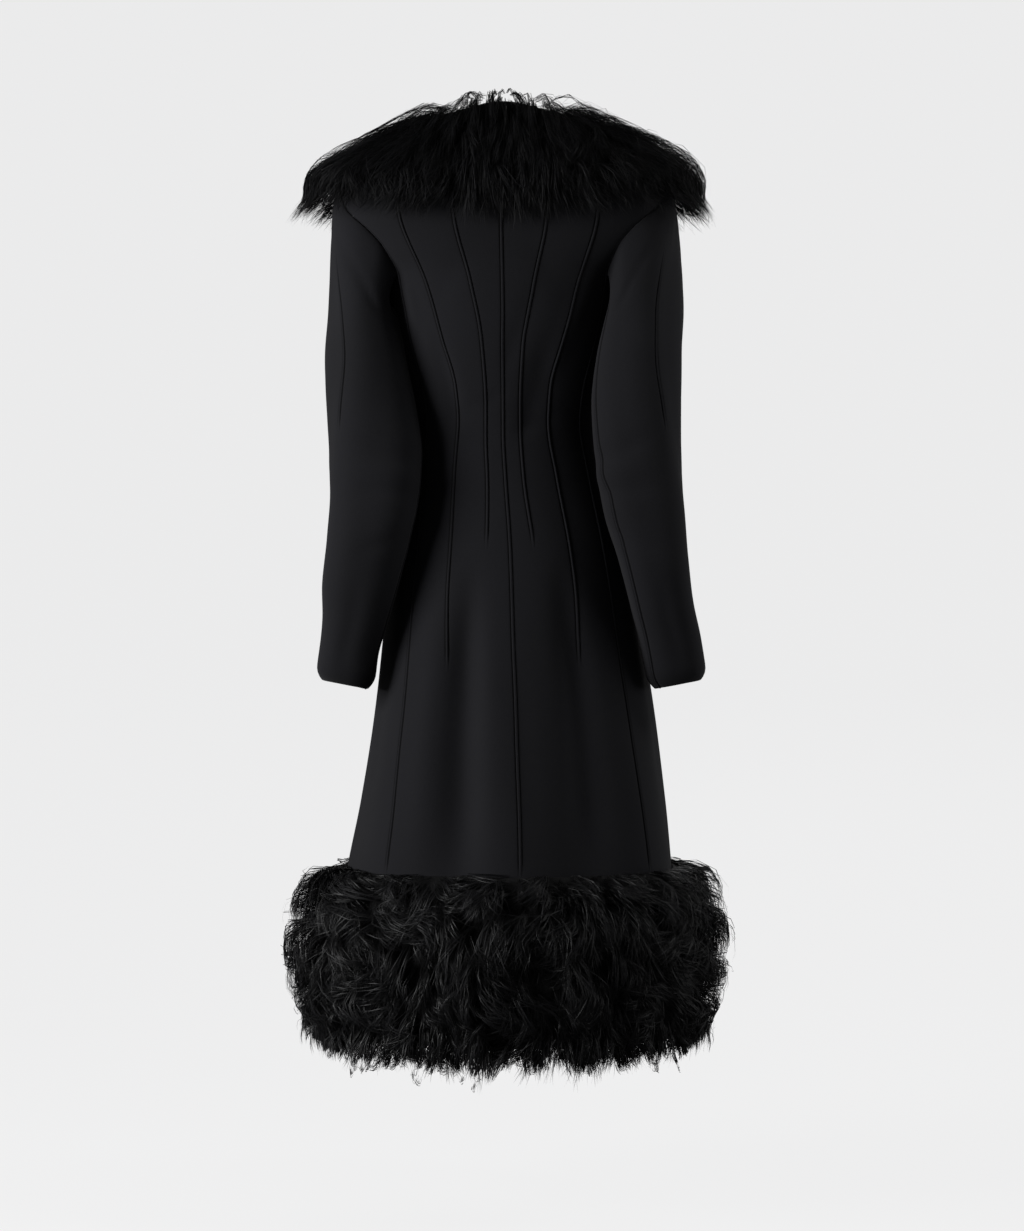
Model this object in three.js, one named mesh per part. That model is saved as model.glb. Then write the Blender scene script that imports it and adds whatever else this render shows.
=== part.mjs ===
// A fitted wool coat with a fur collar and a fur hem, standing open as it is worn.
// Millimetres, +Z up, front toward -Y, the coat's left toward +X, origin on the shoulders at the neck.
import * as THREE from "three";

const WALL = 2.6; // cloth
const SEAM_GAP = 0.36; // between two pieces at a seam
const WELT = { high: 1.4, half: 3.2, armhole: 0.5, fadeUp: 30, fadeDown: 20 }; // a raised seam
const LAP = { past: 18, fade: 30, lift: WALL + 0.9 }; // right front over left front
const HEM_Z = -1150;
const UNDERARM_Z = -212;
const SIDE_TOP_Z = -195; // where the side seams reach the armhole
const TIP_Z = -58; // shoulder tip
const NECK = { back: 16, side: 0, front: -52 };
const FUR_JOIN_Z = -957;
const DART_END = { short: -546, long: -698, fade: 26 };
const UNDER_COLLAR_Z = -70; // welts stop here, under the collar

const rad = THREE.MathUtils.degToRad;
const lerp = THREE.MathUtils.lerp;
const clamp01 = (t) => Math.min(1, Math.max(0, t));
const ease = (t) => clamp01(t) ** 2 * (3 - 2 * clamp01(t));
const span = (n, from = 0, to = 1) => Array.from({ length: n }, (_, i) => lerp(from, to, i / (n - 1)));

/** Rows of numbers under named columns; at(key) gives every column, smoothly, with no overshoot. */
function table(columns, rows) {
  const sorted = [...rows].sort((a, b) => a[0] - b[0]);
  const xs = sorted.map((row) => row[0]);
  const slopes = columns.map((_, c) => {
    const step = (i) => (sorted[i + 1][c] - sorted[i][c]) / (xs[i + 1] - xs[i]);
    return xs.map((_, i) => {
      if (i === 0) return step(0);
      if (i === xs.length - 1) return step(i - 1);
      const [a, b] = [step(i - 1), step(i)];
      return a * b <= 0 ? 0 : (2 * a * b) / (a + b);
    });
  });
  return (key) => {
    let i = 0;
    while (i < xs.length - 2 && key > xs[i + 1]) i += 1;
    const wide = xs[i + 1] - xs[i];
    const t = (clampTo(key, xs[0], xs[xs.length - 1]) - xs[i]) / wide;
    const beyond = key - clampTo(key, xs[0], xs[xs.length - 1]);
    const at = {};
    columns.forEach((name, c) => {
      const [p, q, m, n] = [sorted[i][c], sorted[i + 1][c], slopes[c][i] * wide, slopes[c][i + 1] * wide];
      const t2 = t * t;
      const t3 = t2 * t;
      const inside = p * (2 * t3 - 3 * t2 + 1) + m * (t3 - 2 * t2 + t) + q * (3 * t2 - 2 * t3) + n * (t3 - t2);
      at[name] = inside + (beyond * (beyond < 0 ? m : n)) / wide;
    });
    return at;
  };
}
function clampTo(v, low, high) {
  return Math.min(high, Math.max(low, v));
}

// Half width, depth behind and in front of the axis, sideways lean, squareness of the ring, turn in degrees.
const BODY = table(
  ["z", "half", "back", "front", "lean", "square", "turn"],
  [
    [16, 62, 60, 46, 5, 2.0, 2],
    [0, 76, 66, 51, 5, 2.0, 2],
    [-15, 110, 72, 57, 5, 2.1, 2],
    [-30, 145, 78, 63, 5, 2.2, 2],
    [-45, 179, 84, 70, 5, 2.4, 2],
    [TIP_Z, 204, 89, 76, 5, 2.6, 2],
    [-85, 210, 96, 88, 5, 3.0, 2],
    [-110, 209, 100, 100, 5, 3.1, 2],
    [-159, 184, 104, 120, 5, 2.8, 1.6],
    [-195, 156, 104, 130, 5, 2.4, 1.2],
    [-240, 145, 101, 133, 5, 2.25, 0.8],
    [-289, 139, 96, 126, 6, 2.2, 0.5],
    [-340, 130, 88, 113, 6, 2.15, 0.2],
    [-395, 121, 81, 104, 6, 2.1, 0],
    [-456, 131, 89, 109, 3, 2.1, 0],
    [-546, 156, 114, 122, -3, 2.1, 0],
    [-640, 167, 132, 133, -6, 2.05, 0],
    [-770, 185.5, 153, 150, -9, 2.0, -0.6],
    [-870, 200, 170, 165, -8, 2.0, -2],
    [FUR_JOIN_Z, 213, 186, 180, -4, 2.0, -3.5],
    [-1060, 224, 202, 195, 0, 2.0, -4.5],
    [HEM_Z, 230, 210, 203, 1, 2.0, -5],
    [-1230, 232, 212, 205, 1, 2.0, -5],
  ],
);
// Soft flare folds of the skirt: where on the ring, how far out or in at the hem, how wide.
const FOLDS = [
  { at: -52, out: 8, wide: 13 },
  { at: -24, out: -8, wide: 12 },
  { at: 2, out: 6, wide: 12 },
  { at: 27, out: -6, wide: 12 },
  { at: 55, out: 8, wide: 14 },
  { at: 84, out: -5, wide: 14 },
  { at: 113, out: 8, wide: 15 },
  { at: 143, out: -6, wide: 13 },
  { at: -84, out: -5, wide: 14 },
  { at: -113, out: 8, wide: 15 },
  { at: -143, out: -6, wide: 13 },
];
const FOLD_START_Z = -560;

const STANCE = { lean: 5, turn: 2 }; // of the shoulders
const wrapped = (degrees) => ((((degrees + 180) % 360) + 360) % 360) - 180;

/** The outer face of the body: degrees round from centre back toward the coat's left, and height. */
function bodyPoint(degrees, z) {
  const row = BODY(z);
  const t = rad(degrees + row.turn);
  const depth = Math.cos(t) > 0 ? row.back : row.front;
  const n = row.square;
  const r = (Math.abs(Math.sin(t) / row.half) ** n + Math.abs(Math.cos(t) / depth) ** n) ** (-1 / n);
  const grown = ease((FOLD_START_Z - z) / (FOLD_START_Z - FUR_JOIN_Z));
  const fold = FOLDS.reduce((sum, f) => sum + f.out * Math.exp(-((wrapped(degrees - f.at) / f.wide) ** 2)), 0);
  const reach = r + fold * grown;
  return new THREE.Vector3(row.lean + reach * Math.sin(t), reach * Math.cos(t), z);
}

/** Unit normal of a surface given as a function of two numbers. */
function normalOf(surface, u, v, du, dv, outward = 1) {
  const a = surface(u + du, v).sub(surface(u - du, v));
  const b = surface(u, v + dv).sub(surface(u, v - dv));
  return a.cross(b).normalize().multiplyScalar(outward);
}
const bodyNormal = (degrees, z) => normalOf(bodyPoint, degrees, z, 0.4, 1.5, -1);

/** Degrees that a length in mm makes along the ring at this place. */
function degreesFor(length, degrees, z) {
  return length / (bodyPoint(degrees + 0.5, z).distanceTo(bodyPoint(degrees - 0.5, z)) || 1);
}

/** The ring angle whose point lies x mm to the side of the axis, behind or in front. */
function angleAt(x, z, behind) {
  const row = BODY(z);
  const share = Math.min(0.999, x / row.half);
  const depth = (behind ? row.back : row.front) * (1 - share ** row.square) ** (1 / row.square);
  return THREE.MathUtils.radToDeg(Math.atan2(x, behind ? depth : -depth));
}

// Seam lines as distances from the axis, seen from behind or from the front.
const SHORT_WELT = table(["z", "x"], [
  [16, 24], [0, 33], [-45, 58], [-109, 60], [-210, 40], [-289, 26], [-365, 22], [-450, 23],
  [DART_END.short, 30], [-700, 40], [FUR_JOIN_Z, 60], [HEM_Z, 70],
]);
const LONG_WELT = table(["z", "x"], [
  [16, 46], [0, 58], [-45, 118], [-109, 127], [-207, 97], [-280, 77], [-340, 61], [-385, 58],
  [-450, 65], [-554, 77], [-608, 82], [DART_END.long, 86], [FUR_JOIN_Z, 112], [HEM_Z, 124],
]);
const SIDE_BACK = table(["z", "x"], [
  [SIDE_TOP_Z, 133], [-280, 118], [-350, 101], [-385, 98], [-434, 104], [-525, 116], [-581, 123],
  [-637, 129], [-715, 136], [-815, 146], [-884, 153], [FUR_JOIN_Z, 161], [HEM_Z, 176],
]);
const FRONT_SEAM = table(["z", "x"], [
  [SIDE_TOP_Z, 120], [-245, 98], [-340, 80], [-395, 74], [-500, 84], [-640, 104], [-815, 124],
  [FUR_JOIN_Z, 142], [HEM_Z, 158],
]);
// The armhole's back and front edges round the ring, from the shoulder tip to the top of the side seams.
const BACK_AT_TOP = angleAt(SIDE_BACK(SIDE_TOP_Z).x, SIDE_TOP_Z, true);
const FRONT_AT_TOP = angleAt(FRONT_SEAM(SIDE_TOP_Z).x, SIDE_TOP_Z, false);
const ARMHOLE = table(
  ["z", "back", "front"],
  [
    [0, 90, 90],
    [TIP_Z, 90, 90],
    [-70, 86.5, 93],
    [-85, 82, 97],
    [-109, 74.5, 104],
    [-135, 66.5, 112],
    [-165, 62.5, 119],
    [SIDE_TOP_Z, BACK_AT_TOP, FRONT_AT_TOP],
  ],
);

const neckZ = (degrees) => {
  const c = Math.cos(rad(degrees));
  return NECK.side + (c > 0 ? NECK.back * c ** 2 : NECK.front * Math.abs(c) ** 1.6);
};
const line = {
  centreBack: () => 0,
  shortWelt: (z) => angleAt(SHORT_WELT(z).x, z, true),
  longWelt: (z) => angleAt(LONG_WELT(z).x, z, true),
  back: (z) => (z > SIDE_TOP_Z ? ARMHOLE(z).back : angleAt(SIDE_BACK(z).x, z, true)),
  front: (z) => (z > SIDE_TOP_Z ? ARMHOLE(z).front : angleAt(FRONT_SEAM(z).x, z, false)),
};

const finishes = {
  cloth: { color: 0x17171b, roughness: 0.92, metalness: 0 },
  fur: { color: 0x0d0d10, roughness: 0.8, metalness: 0 },
  button: { color: 0x101012, roughness: 0.35, metalness: 0 },
};
const group = new THREE.Group();

/** Adds a closed solid from points and triangles, turned to face outward. */
function addSolid(name, points, triangles, finish) {
  let volume = 0;
  for (const [a, b, c] of triangles) volume += points[a].dot(points[b].clone().cross(points[c]));
  const geometry = new THREE.BufferGeometry();
  geometry.setAttribute("position", new THREE.Float32BufferAttribute(points.flatMap((p) => p.toArray()), 3));
  geometry.setIndex(triangles.flatMap(([a, b, c]) => (volume < 0 ? [a, c, b] : [a, b, c])));
  geometry.computeVertexNormals();
  const mesh = new THREE.Mesh(geometry, new THREE.MeshStandardMaterial(finishes[finish]));
  mesh.name = name;
  group.add(mesh);
}

/** A closed wall from its two faces, each given as rows of points, joined all round the rim. */
function addWall(name, outer, inner, finish) {
  const [rows, cols] = [outer.length, outer[0].length];
  const points = [...outer.flat(), ...inner.flat()];
  const at = (face, r, c) => face * rows * cols + r * cols + c;
  const triangles = [];
  const quad = (a, b, c, d) => triangles.push([a, b, c], [a, c, d]);
  for (let r = 0; r + 1 < rows; r += 1)
    for (let c = 0; c + 1 < cols; c += 1) {
      quad(at(0, r, c), at(0, r, c + 1), at(0, r + 1, c + 1), at(0, r + 1, c));
      quad(at(1, r + 1, c), at(1, r + 1, c + 1), at(1, r, c + 1), at(1, r, c));
    }
  const count = (n) => [...Array(n).keys()];
  const rim = [
    ...count(cols).map((c) => [0, c]),
    ...count(rows).slice(1).map((r) => [r, cols - 1]),
    ...count(cols - 1).reverse().map((c) => [rows - 1, c]),
    ...count(rows - 1).slice(1).reverse().map((r) => [r, 0]),
  ];
  rim.forEach(([r, c], i) => {
    const [r2, c2] = rim[(i + 1) % rim.length];
    quad(at(0, r2, c2), at(0, r, c), at(1, r, c), at(1, r2, c2));
  });
  addSolid(name, points, triangles, finish);
}

/** One cut piece of cloth on a surface: columns give a place and the welt height there, for each row. */
function addPanel(name, surface, normal, rows, columns, lift = () => 0) {
  const outer = [];
  const inner = [];
  rows.forEach((row) => {
    const places = columns(row);
    outer.push(places.map(({ u, v, welt }) => surface(u, v).addScaledVector(normal(u, v), welt + lift(u, v))));
    inner.push(places.map(({ u, v }) => surface(u, v).addScaledVector(normal(u, v), lift(u, v) - WALL)));
  });
  addWall(name, outer, inner, "cloth");
}

/** Columns between lines of the body at one height: three on a welt, two at a seam edge, one elsewhere. */
function columnsBetween(lines, z, side) {
  const last = lines.length - 1;
  const places = lines.map((l, i) => {
    const a = l.at(z);
    const flank = l.welt ? degreesFor(WELT.half, side * a, z) : 0;
    const shift = l.welt ? degreesFor(SEAM_GAP / 2, side * a, z) : 0;
    return { a, from: a - flank, to: a + flank, shift, welt: l.welt ? l.welt(z) : 0, between: l.between ?? 0 };
  });
  return places.flatMap((p, i) => {
    const own = [];
    if (lines[i].welt && i > 0) own.push({ a: p.from, welt: 0 });
    own.push({ a: p.a + (i === 0 ? p.shift : 0) - (i === last ? p.shift : 0), welt: p.welt });
    if (lines[i].welt && i < last) own.push({ a: p.to, welt: 0 });
    for (let k = 1; k <= p.between && i < last; k += 1)
      own.push({ a: lerp(p.to, places[i + 1].from, k / (p.between + 1)), welt: 0 });
    return own;
  });
}

const seamWelt = (z) =>
  WELT.high * ease((UNDER_COLLAR_Z - z) / WELT.fadeUp) * ease((z - FUR_JOIN_Z) / WELT.fadeDown);
const dartWelt = (end) => (z) => seamWelt(z) * ease((z - end) / DART_END.fade);
const edgeWelt = (z) => (z > SIDE_TOP_Z ? WELT.armhole : seamWelt(z));

const LOW_ROWS = [
  HEM_Z, -1055, FUR_JOIN_Z, -900, -835, -770, DART_END.long, -672, -610, DART_END.short, -520, -480, -440,
  -400, -360, -320, -280, -240,
];
const ARMHOLE_ROWS = [TIP_Z, -70, -85, -109, -135, -165, SIDE_TOP_Z];
const HIGH_ROWS = [...[...ARMHOLE_ROWS].reverse(), -40, -20, "neck"];
const SIDE_BETWEEN = 5;
const neckShare = { "-40": 0.36, "-20": 0.72, neck: 1 };
/** Height of a row at an angle: above the shoulder tip the rows bend to meet the neckline. */
const heightOf = (row, degrees) =>
  row in neckShare ? lerp(TIP_Z, neckZ(degrees), neckShare[row]) : row;

function bodyPanel(name, side, lines, rows, heights = heightOf, lift) {
  addPanel(
    name,
    bodyPoint,
    bodyNormal,
    rows,
    (row) => {
      const level = row in neckShare ? lerp(TIP_Z, NECK.side, neckShare[row]) : row;
      const z = typeof level === "number" ? level : UNDERARM_Z;
      return columnsBetween(lines, z, side).map(({ a, welt }) => ({ u: side * a, v: heights(row, a), welt }));
    },
    lift,
  );
}

/** Height of the right front above the left where they lap. */
function lapLift(degrees, z) {
  const fromCentre = (180 + degrees) / degreesFor(1, 180, z);
  return LAP.lift * ease((LAP.past + LAP.fade - fromCentre) / LAP.fade);
}
const lapEdge = (past) => (z) => 180 + past * degreesFor(1, 180, z);

for (const [side, suffix] of [[1, "left"], [-1, "right"]]) {
  bodyPanel(
    "back_" + suffix,
    side,
    [
      { at: line.centreBack, welt: seamWelt, between: 1 },
      { at: line.shortWelt, welt: dartWelt(DART_END.short), between: 1 },
      { at: line.longWelt, welt: dartWelt(DART_END.long), between: 1 },
      { at: line.back, welt: edgeWelt },
    ],
    [...LOW_ROWS, ...HIGH_ROWS],
  );
  addPanel(
    "side_" + suffix,
    bodyPoint,
    bodyNormal,
    [...LOW_ROWS, "underarm"],
    (row) =>
      columnsBetween(
        [{ at: line.back, welt: seamWelt, between: SIDE_BETWEEN }, { at: line.front, welt: seamWelt }],
        row === "underarm" ? SIDE_TOP_Z : row,
        side,
      ).map(({ a, welt }) => ({ u: side * a, v: row === "underarm" ? underarmZ(a) : row, welt })),
  );
  const past = side < 0 ? LAP.past : LAP.past - 4;
  bodyPanel(
    "front_" + suffix,
    side,
    [
      { at: line.front, welt: edgeWelt, between: 3 },
      { at: lapEdge(-LAP.past - LAP.fade) },
      { at: lapEdge(-LAP.past) },
      { at: lapEdge(0) },
      { at: lapEdge(past) },
    ],
    [...LOW_ROWS, ...HIGH_ROWS],
    (row, a) => heightOf(row, Math.min(a, 180)),
    side < 0 ? lapLift : undefined,
  );
}

// Sleeve rings under the armhole: centre beside and behind the axis, half width, half depth, and how far
// in degrees the back of the ring turns toward the body.
const SLEEVE_COLUMNS = ["z", "beside", "behind", "wide", "deep", "turn"];
const SLEEVE_TOP_Z = -250;
const CUFF_Z = -719;
const SLEEVES = {
  left: table(SLEEVE_COLUMNS, [
    [SLEEVE_TOP_Z, 191, 22, 39, 65, 16],
    [-300, 185.5, 40, 46, 60, 22],
    [-370, 176.5, 52, 54.5, 60, 14],
    [-430, 171, 70, 57.5, 56, 6],
    [-470, 171, 80, 56, 54, 0],
    [-530, 178, 88, 52, 52, 0],
    [-590, 188.5, 82, 48, 49, 0],
    [-640, 196, 71, 41, 46, 0],
    [-680, 204, 62, 37.5, 43, 0],
    [CUFF_Z, 209, 54, 38, 41, 0],
  ]),
  right: table(SLEEVE_COLUMNS, [
    [SLEEVE_TOP_Z, 176, 48, 41, 64, 28],
    [-300, 169, 66, 47.5, 60, 28],
    [-370, 165, 74, 53.5, 58, 20],
    [-440, 167, 80, 54, 55, 10],
    [-500, 173.5, 88, 51.5, 52, 0],
    [-560, 185, 91, 44.5, 49, 0],
    [-620, 197, 80, 40, 46, 0],
    [-660, 207, 68, 39, 44, 0],
    [CUFF_Z, 218, 54, 38, 41, 0],
  ]),
};
// Sleeve seams in turns round the ring from its outer point by the back: at the armhole, elbow and cuff.
const SLEEVE_SEAMS = {
  left: table(["along", "back", "front"], [
    [0, 0.33, 0.7], [1, 0.42, 0.69], [1.45, 0.475, 0.68], [1.75, 0.43, 0.67], [2, 0.4, 0.66],
  ]),
  right: table(["along", "back", "front"], [
    [0, 0.33, 0.7], [1, 0.36, 0.69], [1.45, 0.375, 0.68], [1.75, 0.375, 0.67], [2, 0.38, 0.66],
  ]),
};
const OUTER_ARM = { turn: 0.1, end: 1.32, fade: 0.06 };
// The cuff: its outer edge is higher by rise, and its rim turns in by curl.
const CUFF = { rise: 6, from: 1.6, over: 0.4, curl: 4, curlFrom: 1.955 };
const SLEEVE_ROWS = [
  0, 0.1, 0.25, 0.42, 0.6, 0.8, 1, 1.08, 1.16, 1.25, 1.34, 1.43, 1.52, 1.62, 1.72, 1.82, 1.9, CUFF.curlFrom, 1.98, 2,
];
const SLEEVE_WELT = { back: { from: 0.45, over: 0.4 }, front: { from: 1, over: 0.15 } }; // where welts rise
const ARMHOLE_SETBACK = 2; // sleeve inside the armhole edge
const CAP = { out: 0.42, drop: 0.2 }; // how the sleeve head leaves the armhole, as shares of its length
const CAP_GAP = { more: 1.1, until: 0.9 }; // wider seams where the sleeve turns into the armhole

/** Height of the side panel's top edge, dipping under the arm between the two side seams. */
function underarmZ(degrees) {
  const across = clamp01((degrees - BACK_AT_TOP) / (FRONT_AT_TOP - BACK_AT_TOP));
  return lerp(SIDE_TOP_Z, UNDERARM_Z, Math.sin(Math.PI * across) ** 0.8);
}

/** Half of the armhole edge from shoulder tip to underarm, as places at even steps along the cloth. */
function armholeHalf(edge, side) {
  const corner = edge === "back" ? BACK_AT_TOP : FRONT_AT_TOP;
  const middle = (BACK_AT_TOP + FRONT_AT_TOP) / 2;
  const places = [
    ...ARMHOLE_ROWS.map((z) => ({ a: ARMHOLE(z)[edge], z })),
    ...span(SIDE_BETWEEN - 1, corner, middle).slice(1).map((a) => ({ a, z: underarmZ(a) })),
  ].map(({ a, z }) => ({ a, z, p: bodyPoint(side * a, z) }));
  const lengths = [0];
  places.slice(1).forEach(({ p }, i) => lengths.push(lengths[i] + p.distanceTo(places[i].p)));
  return (share) => {
    const goal = clamp01(share) * lengths[lengths.length - 1];
    const i = Math.max(0, Math.min(lengths.findIndex((l) => l >= goal) - 1, places.length - 2));
    const t = (goal - lengths[i]) / (lengths[i + 1] - lengths[i]);
    return { a: lerp(places[i].a, places[i + 1].a, t), z: lerp(places[i].z, places[i + 1].z, t) };
  };
}

/** The outer face of a sleeve: turns round it, and 0 to 1 down the head, 1 to 2 down to the cuff. */
function sleeveSurface(side, suffix) {
  const halves = { back: armholeHalf("back", side), front: armholeHalf("front", side) };
  const middle = { a: (BACK_AT_TOP + FRONT_AT_TOP) / 2, z: (TIP_Z + UNDERARM_Z) / 2 };
  const edgePlace = (turn) => {
    const around = ((turn % 1) + 1) % 1;
    const at = around <= 0.5 ? halves.back(around * 2) : halves.front((1 - around) * 2);
    const perDegree = 1 / degreesFor(1, side * at.a, at.z);
    const toward = new THREE.Vector2((middle.a - at.a) * perDegree, middle.z - at.z).setLength(ARMHOLE_SETBACK);
    return { u: side * (at.a + toward.x / perDegree), v: at.z + toward.y };
  };
  const ring = (turn, along) => {
    const level = lerp(SLEEVE_TOP_Z, CUFF_Z, along - 1);
    const row = SLEEVES[suffix](level);
    const phi = turn * 2 * Math.PI;
    const curl = CUFF.curl * clamp01((along - CUFF.curlFrom) / (2 - CUFF.curlFrom)) ** 2;
    const [w, d] = [(row.wide - curl) * Math.cos(phi), (row.deep - curl) * Math.sin(phi)];
    const t = rad(row.turn);
    const rise = CUFF.rise * Math.cos(phi) * ease((along - CUFF.from) / CUFF.over);
    return new THREE.Vector3(
      side * (row.beside + w * Math.cos(t) - d * Math.sin(t)),
      row.behind + w * Math.sin(t) + d * Math.cos(t),
      level + rise,
    );
  };
  return (turn, along) => {
    if (along >= 1) return ring(turn, along);
    const { u, v } = edgePlace(turn);
    const start = bodyPoint(u, v);
    const end = ring(turn, 1);
    const length = start.distanceTo(end);
    const drop = CAP.drop * length * Math.max(0, Math.cos(turn * 2 * Math.PI));
    const leave = bodyNormal(u, v).multiplyScalar(CAP.out * length).add(new THREE.Vector3(0, 0, -drop));
    const arrive = ring(turn, 1.02).sub(end).normalize().multiplyScalar(length);
    const [t, t2, t3] = [along, along ** 2, along ** 3];
    return start
      .multiplyScalar(2 * t3 - 3 * t2 + 1)
      .addScaledVector(leave, t3 - 2 * t2 + t)
      .addScaledVector(end, 3 * t2 - 2 * t3)
      .addScaledVector(arrive, t3 - t2);
  };
}

for (const [side, suffix] of [[1, "left"], [-1, "right"]]) {
  const surface = sleeveSurface(side, suffix);
  const normal = (u, v) => normalOf(surface, u, Math.max(v, 0.012), 0.006, 0.01, -side);
  const mmPerTurn = (turn, along) => surface(turn + 0.01, along).distanceTo(surface(turn - 0.01, along)) / 0.02;
  const seams = SLEEVE_SEAMS[suffix];
  const welted = (along) => WELT.high * ease((along - SLEEVE_WELT.back.from) / SLEEVE_WELT.back.over);
  const underWelt = (along) => WELT.high * ease((along - SLEEVE_WELT.front.from) / SLEEVE_WELT.front.over);
  const sleevePanel = (name, lines) =>
    addPanel(name, surface, normal, SLEEVE_ROWS, (along) => {
      const turns = lines.map((l) => l.at(along));
      return turns.flatMap((turn, i) => {
        const gap = SEAM_GAP / 2 + CAP_GAP.more * ease(1 - along / CAP_GAP.until);
        const [flank, shift] = [WELT.half, gap].map((mm) => mm / mmPerTurn(turn, along));
        const own = [];
        const edge = (i === 0 ? shift : 0) - (i === turns.length - 1 ? shift : 0);
        if (i > 0) own.push({ u: turn - flank, v: along, welt: 0 });
        own.push({ u: turn + edge, v: along, welt: lines[i].welt(along) });
        if (i < turns.length - 1) {
          own.push({ u: turn + flank, v: along, welt: 0 });
          const next = turns[i + 1] - WELT.half / mmPerTurn(turns[i + 1], along);
          for (let k = 1; k <= lines[i].between; k += 1)
            own.push({ u: lerp(turn + flank, next, k / (lines[i].between + 1)), v: along, welt: 0 });
        }
        return own;
      });
    });
  const outerWelt = (along) => welted(along) * ease((OUTER_ARM.end - along) / OUTER_ARM.fade);
  sleevePanel("top_sleeve_" + suffix, [
    { at: (along) => seams(along).front - 1, welt: underWelt, between: 3 },
    { at: () => OUTER_ARM.turn, welt: outerWelt, between: 2 },
    { at: (along) => seams(along).back, welt: welted },
  ]);
  sleevePanel("under_sleeve_" + suffix, [
    { at: (along) => seams(along).back, welt: welted, between: 3 },
    { at: (along) => seams(along).front, welt: underWelt },
  ]);
}

/** A repeatable uneven number from -1 to 1 for a lock of fur. */
function uneven(i, j, k = 0) {
  const wave = Math.sin(i * 127.1 + j * 311.7 + k * 74.7) * 43758.5453;
  return 2 * (wave - Math.floor(wave)) - 1;
}

/** Room that a fur needs over the lapped fronts. */
const lapOver = (degrees, z) =>
  LAP.lift * ease((LAP.past + 2 * LAP.fade - (180 - Math.abs(degrees)) / degreesFor(1, 180, z)) / LAP.fade);

// What the collar lies on: the body with the heads of the sleeves.
const UNDER_COLLAR = table(
  ["z", "half", "back", "front", "square"],
  [
    [20, 60, 59, 45, 2.0],
    [0, 77, 66, 51, 2.0],
    [-15, 111, 72, 57, 2.1],
    [-30, 146, 78, 63, 2.2],
    [-45, 180, 84, 70, 2.4],
    [TIP_Z, 208, 89, 76, 2.6],
    [-68, 220, 92, 81, 2.8],
    [-85, 227, 97, 89, 3.0],
    [-110, 232, 101, 102, 3.1],
    [-150, 236, 105, 119, 3.2],
    [-200, 238, 107, 134, 3.2],
  ],
);
function shoulderPoint(degrees, z) {
  const row = UNDER_COLLAR(z);
  const t = rad(degrees + STANCE.turn);
  const depth = Math.cos(t) > 0 ? row.back : row.front;
  const n = row.square;
  const r = (Math.abs(Math.sin(t) / row.half) ** n + Math.abs(Math.cos(t) / depth) ** n) ** (-1 / n);
  return new THREE.Vector3(STANCE.lean + r * Math.sin(t), r * Math.cos(t), z);
}
const shoulderNormal = (degrees, z) => normalOf(shoulderPoint, degrees, z, 0.4, 1.5, -1);

// The fur of the collar from the neck edge to its tips: out from what it lies on, and up.
const COLLAR_FUR = table(["share", "out", "up"], [
  [0, 3, 20], [0.06, 13, 27], [0.15, 25, 21], [0.3, 32, 9], [0.5, 37, 1], [0.75, 37, -1], [0.9, 31, -3],
  [1, 16, -8],
]);
const COLLAR_SHARES = [0, 0.06, 0.15, 0.3, 0.47, 0.64, 0.8, 0.92, 1];
const COLLAR_LOCKS = 54;
const COLLAR_LEFT_FLAT = 0.16; // the left side lies flatter by this share
const COLLAR = {
  clear: 2.4,
  above: 2,
  low: { back: -112, side: -100, front: -180 },
  notch: { top: 0.9, wide: 9 },
};
const COLLAR_LOCK = { ridge: 2.5, tip: 12, tipVaries: 7, between: 2, tipOut: 0.35, tipsFrom: 0.7 };

/** Places of the collar round the neck and down from it; rows are shares, columns are locks. */
function collarGrid(place) {
  return COLLAR_SHARES.map((share, row) =>
    Array.from({ length: COLLAR_LOCKS + 1 }, (_, lock) => {
      const end = 180 - COLLAR.notch.top - COLLAR.notch.wide * share ** 2;
      const degrees = lerp(-end, end, lock / COLLAR_LOCKS);
      const c = Math.cos(rad(degrees));
      const { back, side, front } = COLLAR.low;
      const low = c > 0 ? lerp(side, back, c ** 2) : lerp(side, front, c ** 2);
      const z = lerp(neckZ(degrees) + COLLAR.above, low, share);
      return place(degrees, z, share, row, lock);
    }),
  );
}
addWall(
  "fur_collar",
  collarGrid((degrees, z, share, row, lock) => {
    const { out, up } = COLLAR_FUR(share);
    const edge = share === 1 || share === 0 ? 0 : 1;
    const flat = 1 - COLLAR_LEFT_FLAT * Math.max(0, Math.sin(rad(degrees))) * ease((1 - share) / 0.5);
    const pointed = lock % 2 === 1;
    const { tip: long, tipVaries, between, tipsFrom } = COLLAR_LOCK;
    const ridge = edge * ease(share / 0.5) * COLLAR_LOCK.ridge * ((pointed ? 1 : -1) + uneven(lock, row));
    const drop = pointed ? long + tipVaries * uneven(lock, 3) : between * uneven(lock, 5);
    const tip = drop * ease((share - tipsFrom) / (1 - tipsFrom));
    return shoulderPoint(degrees, z)
      .addScaledVector(
        shoulderNormal(degrees, z),
        out * flat + ridge + COLLAR_LOCK.tipOut * tip + lapOver(degrees, z),
      )
      .add(new THREE.Vector3(0, 0, up - tip));
  }),
  collarGrid((degrees, z) =>
    shoulderPoint(degrees, z).addScaledVector(shoulderNormal(degrees, z), COLLAR.clear + lapOver(degrees, z)),
  ),
  "fur",
);

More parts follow.
